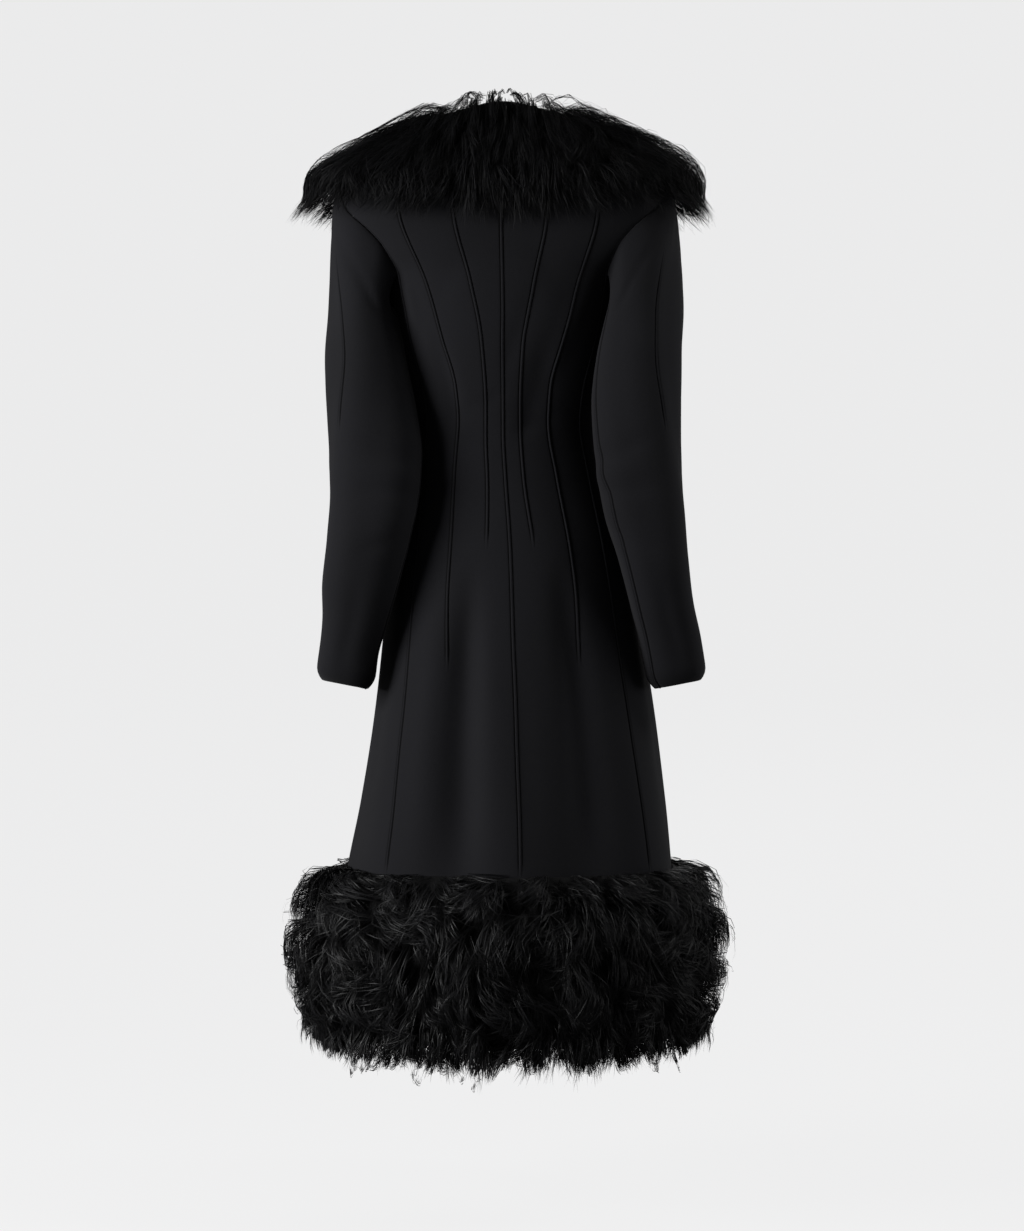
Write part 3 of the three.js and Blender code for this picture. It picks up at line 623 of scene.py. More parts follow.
@dataclass(frozen=True)
class Hair:
    """Long black fur with a cool sheen along each hair; its dark root colour is painted shade deep between
    the hairs.
    """

    name: str
    pale: tuple
    roughness: float
    shine: float
    # Painted shade: the dark root colour stands in for the shade deep between the hairs
    root: tuple = grey(0.0005)
    tip: tuple = grey(0.0028, 1.1)

    def material(self) -> bpy.types.Material:
        """The hairs' material."""
        g = Graph(self.name)
        along, shade = g.attribute("along"), g.attribute("shade")
        own = g.blend(g.ramp(shade, (0.3, 0.0), (0.95, 1.0)), self.tip, self.pale)
        # Darker towards the roots: painted shade deep in the fur
        colour = g.blend(g.ramp(along, (0.08, 0.0), (0.75, 1.0)), self.root, own)
        rough = g.ramp(shade, (0.0, self.roughness - 0.08), (1.0, self.roughness + 0.12))
        return g.finish({"Base Color": colour, "Roughness": rough}, {"Specular IOR Level": self.shine})


@dataclass(frozen=True)
class Pelt:
    """The dense short underfur between the long hairs."""

    dark: tuple = grey(0.0005)
    light: tuple = grey(0.0025, 1.1)

    def material(self) -> bpy.types.Material:
        """The underfur's material."""
        g = Graph("under_fur")
        strand = g.noise((520, 520, 110), 4.0, 0.65, 1.6)
        tuft = g.noise((60, 60, 34), 2.0, 0.5, 0.6)
        colour = g.blend(g.ramp(strand + tuft * 0.4, (0.45, 0.0), (0.95, 1.0)), self.dark, self.light)
        return g.finish({"Base Color": colour, "Normal": g.bump(strand + tuft, 3.0, 0.9)},
                        {"Roughness": 0.8, "Specular IOR Level": 0.15})


@dataclass(frozen=True)
class Horn:
    """Black polished horn of the buttons."""

    dark: tuple = grey(0.004)
    vein: tuple = (0.014, 0.012, 0.011, 1.0)

    def material(self) -> bpy.types.Material:
        """The buttons' material."""
        g = Graph("black_horn")
        vein = g.noise((260, 260, 60), 4.0, 0.6, 2.2)
        fine = g.noise((1800, 1800, 1800), 2.0)
        colour = g.blend(g.ramp(vein, (0.45, 0.0), (0.75, 1.0)), self.dark, self.vein)
        return g.finish(
            {"Base Color": colour, "Roughness": g.ramp(vein, (0.3, 0.28), (0.8, 0.42)),
             "Normal": g.bump(fine, 0.05, 0.3)},
            {},
        )


@dataclass(frozen=True)
class Floor:
    """The pale studio floor and wall."""

    shade: tuple = (0.036, 0.036, 0.036, 1.0)
    patch: tuple = (0.032, 0.032, 0.032, 1.0)
    glow: tuple = (0.825, 0.825, 0.828, 1.0)

    def material(self) -> bpy.types.Material:
        """The floor's material."""
        g = Graph("studio_floor")
        mottle = g.noise((3, 3, 3), 2.0)
        colour = g.blend(mottle, self.shade, self.patch)
        glow = {"Emission Color": self.glow, "Emission Strength": 1.0}
        return g.finish({"Base Color": colour}, {"Roughness": 0.9, "Specular IOR Level": 0.1, **glow})


def make_mesh(name: str, points: Array, corners: Array, sizes: Array, values: dict[str, Array] | None = None,
              material: bpy.types.Material | None = None, smooth: bool = True) -> bpy.types.Object:
    """An object from arrays.

    Args:
        name: The piece's name.
        points: Its points, in mm.
        corners: Point numbers of all the faces, one face after another.
        sizes: How many corners each face has.
        values: Values kept at the points, by name.
        material: Its material.
        smooth: Whether its faces are shaded smooth.

    Returns:
        The object, linked to the scene.
    """
    mesh = bpy.data.meshes.new(name)
    mesh.vertices.add(len(points))
    mesh.vertices.foreach_set("co", np.ascontiguousarray(points * MM, np.float32).ravel())
    mesh.loops.add(len(corners))
    mesh.loops.foreach_set("vertex_index", corners.astype(np.int32))
    mesh.polygons.add(len(sizes))
    mesh.polygons.foreach_set("loop_start", np.concatenate([[0], np.cumsum(sizes)[:-1]]).astype(np.int32))
    mesh.polygons.foreach_set("use_smooth", np.full(len(sizes), smooth))
    for key, array in (values or {}).items():
        kept = mesh.attributes.new(key, "FLOAT", "POINT")
        kept.data.foreach_set("value", array.astype(np.float32).ravel())
    mesh.update(calc_edges=True)
    mesh.validate()
    piece = bpy.data.objects.new(name, mesh)
    bpy.context.scene.collection.objects.link(piece)
    if material:
        mesh.materials.append(material)
    return piece


def wall_faces(rows: int, cols: int) -> Array:
    """Quads of a closed wall whose outer points come first, then its inner ones, row by row."""
    at = np.arange(2 * rows * cols).reshape(2, rows, cols)
    quads = []
    for face, order in ((at[0], (0, 1, 2, 3)), (at[1], (3, 2, 1, 0))):
        four = [face[:-1, :-1], face[:-1, 1:], face[1:, 1:], face[1:, :-1]]
        quads.append(np.stack([four[i] for i in order], -1).reshape(-1, 4))
    rim = np.concatenate([
        np.stack([np.zeros(cols, int), np.arange(cols)], 1),
        np.stack([np.arange(1, rows), np.full(rows - 1, cols - 1)], 1),
        np.stack([np.full(cols - 1, rows - 1), np.arange(cols - 2, -1, -1)], 1),
        np.stack([np.arange(rows - 2, 0, -1), np.zeros(rows - 2, int)], 1),
    ])
    after = np.roll(rim, -1, axis=0)
    outer, inner = at[0][tuple(rim.T)], at[1][tuple(rim.T)]
    outer2, inner2 = at[0][tuple(after.T)], at[1][tuple(after.T)]
    quads.append(np.stack([outer2, outer, inner, inner2], -1))
    return np.concatenate(quads)


def make_wall(name: str, outer: Array, inner: Array, values: dict[str, Array],
              material: bpy.types.Material) -> bpy.types.Object:
    """A closed wall between two grids of points, turned to face outward.

    Args:
        name: The piece's name.
        outer: Its outer face, as rows of points.
        inner: Its inner face, likewise.
        values: Values kept at the points of one face, and used for both.
        material: Its material.

    Returns:
        The object.
    """
    rows, cols = outer.shape[:2]
    points = np.concatenate([outer.reshape(-1, 3), inner.reshape(-1, 3)])
    quads = wall_faces(rows, cols)
    a, b, c, d = (points[quads[:, i]] for i in range(4))
    volume = np.sum(np.cross(b, c) * a) + np.sum(np.cross(c, d) * a)
    if volume < 0:
        quads = quads[:, ::-1]
    both = {key: np.concatenate([array.ravel()] * 2) for key, array in values.items()}
    return make_mesh(name, points, quads.ravel(), np.full(len(quads), 4), both, material)


@dataclass(frozen=True)
class Crease:
    """A soft ridge or trough of cloth along a slightly bent line, in the surface's own two numbers."""

    start: tuple[float, float]
    end: tuple[float, float]
    high: float
    wide: float
    bend: float = 0.0
    past: float = 0.15
    taper: float = 0.45

    def height(self, surface: Surface, u: Array, v: Array, v_mm: float) -> Array:
        """How far it moves the cloth out.

        Args:
            surface: The surface that it runs on.
            u: First numbers of the places.
            v: Second numbers of the places.
            v_mm: Length of one unit of v, in mm.

        Returns:
            The heights in mm.
        """
        u_mm = float(surface.mm_per_u(np.array(self.start[0]), np.array(self.start[1])))
        scale = np.array([u_mm, v_mm])
        a, b = np.array(self.start) * scale, np.array(self.end) * scale
        along = (b - a) / np.dot(b - a, b - a)
        px, py = u * scale[0] - a[0], v * scale[1] - a[1]
        t = px * along[0] + py * along[1]
        length = np.linalg.norm(b - a)
        across = (px * (b - a)[1] - py * (b - a)[0]) / length - self.bend * np.sin(np.pi * np.clip(t, 0, 1))
        ends = ease((t + self.past) / self.taper) * ease((1 + self.past - t) / self.taper)
        return self.high * ends * np.exp(-((across / self.wide) ** 2))


@dataclass(frozen=True)
class Seam:
    """A line of a panel: an edge or a shaped welt."""

    at: Callable[[Array], Array]
    welt: Callable[[Array], Array] | None = None
    columns: int = 6


@dataclass(frozen=True)
class Welt:
    """The shape across a raised seam: a ridge between two fine sunk lines."""

    high: float = 1.15
    half: float = 1.35
    groove_at: float = 2.15
    groove: float = 0.6
    groove_wide: float = 0.55
    shade_wide: float = 0.6
    edge: float = 0.8
    armhole: float = 0.35
    fade_up: float = 30.0
    fade_down: float = 20.0
    dart_fade: float = 26.0
    reach: tuple[float, ...] = (0.6, 1.2, 1.6, 2.0, 2.4, 2.9, 4.2, 7.0)

    def height(self, off: Array) -> Array:
        """Height at a distance from the seam, as a share of its own."""
        ridge = self.high * (1.0 - ease((np.abs(off) - self.half + 0.5) / self.edge))
        sunk = self.groove * np.exp(-(((np.abs(off) - self.groove_at) / self.groove_wide) ** 2))
        return ridge - sunk

    def shade(self, off: Array) -> Array:
        """Painted shade of the sunk lines: how far the cloth's colour is darkened where the grooves lie."""
        return np.exp(-(((np.abs(off) - self.groove_at) / self.shade_wide) ** 2))


WELT = Welt()
SEAM_GAP = 0.06


def columns_between(seams: Sequence[Seam], level: Array, surface: Surface,
                    mirror: float = 1.0) -> tuple[Array, Array, Array]:
    """Columns of a panel between its seams, close together on each welt.

    Args:
        seams: The panel's lines from one edge to the other.
        level: Where each row reads the seams.
        surface: The surface that the panel lies on.
        mirror: -1 where the lines are mirrored onto the surface.

    Returns:
        The rows of u, of welt height and of the painted shade of the sunk lines.
    """
    places, heights, shades = [], [], []
    last = len(seams) - 1
    for i, seam in enumerate(seams):
        here = seam.at(level)
        mm = surface.u_per_mm(mirror * here, level)
        grown = seam.welt(level) if seam.welt else np.zeros_like(level)
        if seam.welt:
            before = [-r for r in reversed(WELT.reach)] if i > 0 else []
            after = list(WELT.reach) if i < last else []
            middle = [SEAM_GAP / 2 if i == 0 else -SEAM_GAP / 2 if i == last else 0.0]
            offsets = [*before, *middle, *after]
        else:
            offsets = [0.0]
        for off in offsets:
            places.append(here + off * mm)
            heights.append(grown * WELT.height(np.array(off)))
            shades.append(grown * WELT.shade(np.array(off)))
        if i < last:
            following = seams[i + 1].at(level)
            step = surface.u_per_mm(mirror * following, level) * (WELT.reach[-1] if seams[i + 1].welt else 0)
            begin, stop = places[-1], following - step
            for k in range(1, seam.columns + 1):
                places.append(lerp(begin, stop, k / (seam.columns + 1)))
                heights.append(np.zeros_like(level))
                shades.append(np.zeros_like(level))
    return np.stack(places, 1), np.stack(heights, 1), np.stack(shades, 1)


def seam_welt(z: Array) -> Array:
    """How far a body welt is grown, from none under the collar to full, and none in the fur."""
    return ease((UNDER_COLLAR_Z - z) / WELT.fade_up) * ease((z - FUR_JOIN_Z) / WELT.fade_down)


def edge_welt(z: Array) -> Array:
    """The same along an edge that becomes the armhole."""
    return np.where(z > SIDE_TOP_Z, WELT.armhole, seam_welt(z))


def dart_welt(end: float) -> Callable[[Array], Array]:
    """A welt that dies out at its lower end."""
    return lambda z: seam_welt(z) * ease((z - end) / WELT.dart_fade)


def from_centre_front(mm: float) -> Callable[[Array], Array]:
    """A line some mm beyond the centre front."""
    return lambda z: 180.0 + mm * BODY.u_per_mm(np.full_like(z, 180.0), z)


def declare(piece: bpy.types.Object, node: str) -> bpy.types.Object:
    """Puts a piece under the root, hides the imported part that it stands for, and reports it."""
    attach(piece, "root")
    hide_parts(node)
    log.info("%s: %d faces", piece.name, len(piece.data.polygons))
    return piece


@dataclass(frozen=True)
class Cut:
    """A cloth piece laid flat: the rectangle that it is cut from, in m, and its own area in m2."""

    width: float
    length: float
    area: float


@dataclass
class ClothPanel:
    """One cut piece of cloth, worn."""

    name: str
    surface: Surface
    u: Array
    v: Array
    welt: Array
    # Painted shade of the seams' sunk lines, kept as the groove attribute
    shade: Array
    creases: tuple[Crease, ...] = ()
    v_mm: float = 1.0
    lift: Array | float = 0.0

    def build(self, wool: bpy.types.Material) -> bpy.types.Object:
        """Makes the cloth as a thin closed wall.

        Args:
            wool: The cloth's material.

        Returns:
            The piece.
        """
        base = self.surface.point(self.u, self.v)
        out = self.surface.normal(self.u, np.maximum(self.v, 0.012) if self.v_mm > 1 else self.v)
        moved = sum((c.height(self.surface, self.u, self.v, self.v_mm) for c in self.creases), self.lift)
        moved = moved + np.zeros_like(self.u)
        outer = base + out * (moved + self.welt)[..., None]
        inner = base + out * (moved - WALL)[..., None]
        # The groove attribute carries the painted shade of the seams' sunk lines
        return make_wall(self.name, outer, inner, {"groove": self.shade}, wool)

    def dress(self, wool: bpy.types.Material, cut: Cut) -> bpy.types.Object:
        """Args:
            wool: The cloth's material.
            cut: The piece that it is sewn from; not used.

        Returns:
            The piece.
        """
        piece = declare(self.build(wool), self.name.removeprefix("wool_"))
        return piece


def spaced(start: float, stop: float, step: float) -> Array:
    """Values from start up to stop, without the last, about a step apart."""
    return np.linspace(start, stop, max(2, round(abs(stop - start) / step) + 1))[:-1]


@dataclass
class CoatBody:
    """The body's six panels."""

    step: float = 7.5
    hidden_step: float = 12.0
    back_cut: Cut = Cut(0.27, 1.19, 0.193)
    side_cut: Cut = Cut(0.33, 0.98, 0.226)
    front_cut: Cut = Cut(0.26, 1.14, 0.175)
    left_short: float = 4.0
    edge_strip: float = 3.0
    back_creases: tuple[Crease, ...] = (
        Crease((-30, -600), (-28, -965), -10.0, 17.0, 4.0),
        Crease((24, -590), (23.5, -965), -13.0, 18.0, -5.0),
        Crease((42, -640), (40, -965), 3.5, 16.0, -4.0),
        Crease((12, -650), (12, -965), 2.6, 17.0),
        Crease((-3, -700), (-6, -965), -1.6, 16.0),
        Crease((-24, -203), (0, -322), -1.6, 15.0, 3.0),
        Crease((-33, -280), (-19, -400), -2.5, 20.0, 3.0),
        Crease((-50, -229), (-38, -331), 1.8, 13.0, -3.0),
        Crease((47, -265), (40, -400), -2.6, 13.0, 4.0),
        Crease((61, -205), (59, -268), 2.5, 10.0),
        Crease((-3, -345), (40, -372), -1.3, 9.0, 3.0),
        Crease((-46, -380), (-8, -400), -1.2, 9.0, -3.0),
        Crease((6, -428), (38, -415), 1.0, 10.0),
        Crease((-16, -160), (-46, -235), -1.3, 16.0, 5.0),
        Crease((18, -165), (48, -240), -1.4, 16.0, -5.0),
    )
    side_creases: tuple[Crease, ...] = (
        Crease((62, -372), (98, -392), -1.5, 9.0, 3.0),
        Crease((66, -415), (104, -408), 1.2, 9.0),
        Crease((58, -290), (58, -540), -3.5, 17.0, 2.0),
        Crease((88, -204), (88, -246), 3.6, 12.0),
        Crease((80, -520), (74, -900), -2.0, 18.0, 6.0),
        Crease((100, -600), (106, -920), 1.8, 22.0, -6.0),
        Crease((-62, -372), (-98, -388), -1.5, 9.0, 3.0),
        Crease((-80, -540), (-76, -900), -2.0, 18.0, 6.0),
    )
    front_creases: tuple[Crease, ...] = (
        Crease((128, -380), (172, -398), -1.3, 9.0, 3.0),
        Crease((-128, -384), (-172, -400), -1.3, 9.0, -3.0),
        Crease((136, -150), (152, -300), -1.8, 17.0, 6.0),
        Crease((-136, -150), (-152, -300), -1.8, 17.0, -6.0),
        Crease((150, -560), (152, -930), -3.0, 18.0, -6.0),
        Crease((-152, -600), (-150, -930), -3.0, 18.0, 6.0),
    )

    def rows(self, step: float) -> Array:
        """Heights of the rows from the hem up to the shoulder tip."""
        levels = [spaced(HEM_Z, FUR_JOIN_Z, HEM_ROWS), spaced(FUR_JOIN_Z, SIDE_TOP_Z, step),
                  spaced(SIDE_TOP_Z, TIP_Z, step), [TIP_Z]]
        return np.concatenate(levels)

    def panel(self, word: str, side: Side, seams: Sequence[Seam], step: float, creases: tuple[Crease, ...],
              lift: Callable[[Array, Array], Array] | None = None) -> ClothPanel:
        """A panel that reaches from the hem to the neckline.

        Args:
            word: What the piece is.
            side: Which half it belongs to.
            seams: Its lines.
            step: Length between rows.
            creases: Its creases.
            lift: How far it lies above the body's surface.

        Returns:
            The panel.
        """
        low = self.rows(step)
        shares = np.linspace(0, 1, 9)[1:]
        level = np.concatenate([low, lerp(TIP_Z, 0.0, shares)])
        a, welt, shade = columns_between(seams, level, BODY, side.value)
        risen = np.concatenate([np.zeros(len(low)), shares])[:, None]
        high = lerp(TIP_Z, neck_z(np.minimum(a, 180.0)), risen)
        v = np.where(np.arange(len(level))[:, None] < len(low), level[:, None], high)
        u = side.value * a
        above = lift(u, v) if lift else 0.0
        return ClothPanel(f"wool_{word}_{side.word}", BODY, u, v, welt, shade, creases, lift=above)

    def build(self, wool: bpy.types.Material) -> list[bpy.types.Object]:
        made = []
        for side in Side:
            made.append(self._back(side).dress(wool, self.back_cut))
            made.append(self._side(side).dress(wool, self.side_cut))
            made.append(self._front(side).dress(wool, self.front_cut))
        return made

    def _back(self, side: Side) -> ClothPanel:
        """A back panel, from centre back over its short and long welt to the armhole and side."""
        seams = [
            Seam(lambda z: 0.0 * z, seam_welt, 7), Seam(SHORT_WELT, dart_welt(SHORT_DART_Z), 8),
            Seam(LONG_WELT, dart_welt(LONG_DART_Z), 8), Seam(back_edge, edge_welt),
        ]
        return self.panel("back", side, seams, self.step, self.back_creases)

    def _front(self, side: Side) -> ClothPanel:
        """A front panel, from the armhole and side past the centre front."""
        past = LAP.past if side is Side.RIGHT else LAP.past - self.left_short
        seams = [
            Seam(front_edge, edge_welt, 12), Seam(from_centre_front(-LAP.past - LAP.fade), None, 4),
            Seam(from_centre_front(-LAP.past), None, 2),
            Seam(from_centre_front(past - self.edge_strip), None, 1), Seam(from_centre_front(past)),
        ]
        lift = LAP.cloth if side is Side.RIGHT else None
        return self.panel("front", side, seams, self.hidden_step, self.front_creases, lift)

    def _side(self, side: Side) -> ClothPanel:
        """A side panel, whose top dips under the arm."""
        hem = spaced(HEM_Z, FUR_JOIN_Z, HEM_ROWS)
        low = np.concatenate([hem, spaced(FUR_JOIN_Z, SIDE_LEVEL_Z, self.step)])
        shares = np.linspace(0, 1, 6)
        level = np.concatenate([low, lerp(SIDE_LEVEL_Z, SIDE_TOP_Z, shares)])
        seams = [Seam(SIDE_BACK, seam_welt, 22), Seam(FRONT_SEAM, seam_welt)]
        a, welt, shade = columns_between(seams, level, BODY, side.value)
        high = lerp(SIDE_LEVEL_Z, underarm_z(a), np.concatenate([np.zeros(len(low)), shares])[:, None])
        v = np.where(np.arange(len(level))[:, None] < len(low), level[:, None], high)
        return ClothPanel(f"wool_side_{side.word}", BODY, side.value * a, v, welt, shade, self.side_creases)


@dataclass
class CoatSleeves:
    """Both sleeves, each an outer and an under sleeve."""

    outer_turn: float = 0.1
    outer_end: float = 1.32
    outer_fade: float = 0.06
    arm_from: float = 0.45
    arm_fade: float = 0.4
    under_fade: float = 0.15
    head_rows: int = 21
    arm_rows: int = 58
    rim: tuple[float, ...] = (1.955, 1.968, 1.98, 1.99, 1.996, 2.0)
    top_cut: Cut = Cut(0.27, 0.70, 0.148)
    under_cut: Cut = Cut(0.125, 0.60, 0.05)
    left_creases: tuple[Crease, ...] = (
        Crease((0.40, 0.90), (0.475, 1.48), 3.2, 13.0, 2.0),
        Crease((0.475, 1.42), (0.39, 2.05), 3.2, 12.0, -2.0),
        Crease((0.45, 0.66), (0.45, 1.08), 8.0, 17.0),
    )
    right_creases: tuple[Crease, ...] = (
        Crease((0.40, 0.90), (0.40, 1.95), 2.0, 14.0, 2.0),
    )
    creases: tuple[Crease, ...] = (
        Crease((0.45, 1.40), (0.16, 1.33), -2.4, 10.0, 4.0),
        Crease((0.47, 1.50), (0.18, 1.47), -2.0, 9.0, -3.0),
        Crease((0.44, 1.58), (0.22, 1.64), -1.6, 9.0, 3.0),
        Crease((0.45, 1.45), (0.20, 1.41), 1.6, 9.0),
        Crease((0.12, 0.35), (0.30, 0.95), -1.8, 13.0, 4.0),
        Crease((0.05, 0.55), (0.03, 1.45), -1.6, 16.0, 5.0),
        Crease((0.90, 0.60), (0.86, 1.40), -1.8, 15.0, -5.0),
        Crease((0.78, 1.35), (0.96, 1.42), -1.8, 10.0, 3.0),
        Crease((0.24, 1.72), (0.22, 1.96), -1.2, 10.0, 3.0),
        Crease((0.60, 1.30), (0.72, 1.40), -1.8, 10.0, 3.0),
    )

    def arm_welt(self, along: Array) -> Array:
        """How far the welt behind the arm is grown."""
        return ease((along - self.arm_from) / self.arm_fade)

    def under_welt(self, along: Array) -> Array:
        """How far the welt before the arm is grown."""
        return ease((along - 1.0) / self.under_fade)

    def outer_welt(self, along: Array) -> Array:
        """How far the outer-arm welt is grown."""
        return self.arm_welt(along) * ease((self.outer_end - along) / self.outer_fade)

    def outer_line(self, along: Array) -> Array:
        """Turns of the outer-arm welt."""
        return self.outer_turn + 0.0 * along

    def build(self, wool: bpy.types.Material) -> list[bpy.types.Object]:
        made = []
        for side, sleeve in SLEEVES.items():
            top = [Seam(sleeve.over_front_seam, self.under_welt, 14),
                   Seam(self.outer_line, self.outer_welt, 12), Seam(sleeve.back_seam, self.arm_welt)]
            low = [Seam(sleeve.back_seam, self.arm_welt, 12), Seam(sleeve.front_seam, self.under_welt)]
            for word, seams, cut in (("top", top, self.top_cut), ("under", low, self.under_cut)):
                panel = self._piece(sleeve, f"wool_{word}_sleeve_{side.word}", seams)
                made.append(panel.dress(wool, cut))
        return made

    def _piece(self, sleeve: Sleeve, name: str, seams: Sequence[Seam]) -> ClothPanel:
        """One part of a sleeve.

        Args:
            sleeve: Its surface.
            name: The piece's name.
            seams: Its lines.

        Returns:
            The panel.
        """
        head = np.linspace(0, 1, self.head_rows + 1)[:-1]
        along = np.concatenate([head, np.linspace(1, 1.94, self.arm_rows), self.rim])
        u, welt, shade = columns_between(seams, along, sleeve)
        v = np.repeat(along[:, None], u.shape[1], 1)
        own = self.left_creases if sleeve.side is Side.LEFT else self.right_creases
        return ClothPanel(name, sleeve, u, v, welt, shade, self.creases + own,
                          v_mm=sleeve.top_z - sleeve.cuff_z)


class Ripple:
    """A smooth repeatable field of values over a plane, from a few waves."""

    def __init__(self, rng: np.random.Generator, length: float, waves: int = 7) -> None:
        """Draws the waves.

        Args:
            rng: The source of chance.
            length: Mean wave length in mm.
            waves: How many waves.
        """
        angle = rng.uniform(0, 2 * np.pi, waves)
        number = 2 * np.pi / (length * rng.uniform(0.7, 1.5, waves))
        self.x, self.y = number * np.cos(angle), number * np.sin(angle)
        self.phase = rng.uniform(0, 2 * np.pi, waves)

    def __call__(self, x: Array, y: Array) -> Array:
        """Values from about -1 to 1 at places in mm."""
        total = sum(np.sin(a * x + b * y + p) for a, b, p in zip(self.x, self.y, self.phase))
        return total / math.sqrt(len(self.phase))


class FurRoom:
    """The room that a fur fills, from the cloth under it to its outer form."""

    hang_from = 1.0
    length = 160.0

    def faces(self, degrees: Array, fall: Array) -> tuple[Array, Array]:
        """Points of the inner and outer form, at degrees round and shares down the fall."""
        raise NotImplementedError

    def hang(self, degrees: Array) -> Array:
        """The way that free hair hangs."""
        return np.zeros((*np.shape(degrees), 3)) - UP

    def place(self, degrees: Array, fall: Array, depth: Array, root: Array) -> Array:
        """Points in the fur.

        Args:
            degrees: Degrees round.
            fall: Shares down the fall, and past its end for hair that hangs free.
            depth: Shares from the inner form to the outer.
            root: Share down the fall where the hair starts.

        Returns:
            The points in mm.
        """
        held = np.clip(fall, 0.0, np.maximum(root, self.hang_from))
        inner, outer = self.faces(degrees, held)
        free = (fall - held) * self.length
        return inner + (outer - inner) * depth[..., None] + free[..., None] * self.hang(degrees)


@dataclass
class CollarRoom(FurRoom):
    """The collar's room, from the neck to its lower edge."""

    hang_from: float = 0.93
    length: float = 165.0
    clear: float = 2.4
    low_back: float = -112.0
    low_side: float = -100.0
    low_front: float = -180.0
    left_flat: float = 0.16
    flare: float = 0.9
    front_gap: float = 0.9
    front_spread: float = 9.0
    shoulders: Shoulders = field(default_factory=Shoulders)
    outer: Profile = field(default_factory=lambda: Profile(
        "share out up", (0, 3, 20), (0.06, 13, 27), (0.15, 25, 21), (0.3, 32, 9), (0.5, 37, 1),
        (0.75, 37, -1), (0.9, 31, -3), (1, 16, -8),
    ))

    def hang(self, degrees: Array) -> Array:
        """The way that free hair hangs, flared out at the shoulders."""
        s = np.sin(np.radians(degrees))
        return unit(np.stack([self.flare * s * np.abs(s), 0 * s, -1 + 0 * s], -1))

    def end(self, fall: Array) -> Array:
        """Degrees where the collar's front edge lies."""
        return 180.0 - self.front_gap - self.front_spread * fall**2

    def faces(self, degrees: Array, fall: Array) -> tuple[Array, Array]:
        """The two faces of the collar's fur."""
        c = np.cos(np.radians(degrees))
        low = lerp(self.low_side, np.where(c > 0, self.low_back, self.low_front), c**2)
        z = lerp(neck_z(degrees) + 2.0, low, fall)
        out, up = self.outer(fall)
        flat = 1 - self.left_flat * np.maximum(0.0, np.sin(np.radians(degrees))) * ease((1 - fall) / 0.5)
        base, normal = self.shoulders.point(degrees, z), self.shoulders.normal(degrees, z)
        lap = LAP.over(degrees, z)
        inner = base + normal * (self.clear + lap)[..., None]
        outer = base + normal * (out * flat + lap)[..., None] + up[..., None] * UP
        return inner, outer


@dataclass
class HemRoom(FurRoom):
    """The hem band's room, from its top edge to its tips."""

    hang_from: float = 0.88
    length: float = 285.0
    clear: float = 1.3
    outer: Profile = field(default_factory=lambda: Profile(
        "share out z under", (0, 4, -955, -958), (0.05, 18, -953, -965), (0.12, 38, -957, -977),
        (0.2, 53, -972, -992), (0.31, 63, -1000, -1014), (0.46, 65, -1042, -1044), (0.61, 61, -1084, -1084),
        (0.75, 54, -1121, -1124), (0.87, 39, -1149, -1146), (0.95, 22, -1167, -1160), (1, 8, -1179, -1168),
    ))

    def faces(self, degrees: Array, fall: Array) -> tuple[Array, Array]:
        """The two faces of the band's fur."""
        out, z, under = self.outer(fall)
        outer_base = BODY.point(degrees, z)
        flat = BODY.normal(degrees, z) * (1.0 - UP)
        outer = outer_base + flat * (out + LAP.over(degrees, z))[..., None]
        reach = (self.clear + LAP.over(degrees, under))[..., None]
        return BODY.point(degrees, under) + BODY.normal(degrees, under) * reach, outer


@dataclass
class Locks:
    """The locks of a stretch of fur, with a value for each."""

    u: Array
    v: Array
    angle: Array
    turn: Array
    length: Array
    lift: Array
    shade: Array


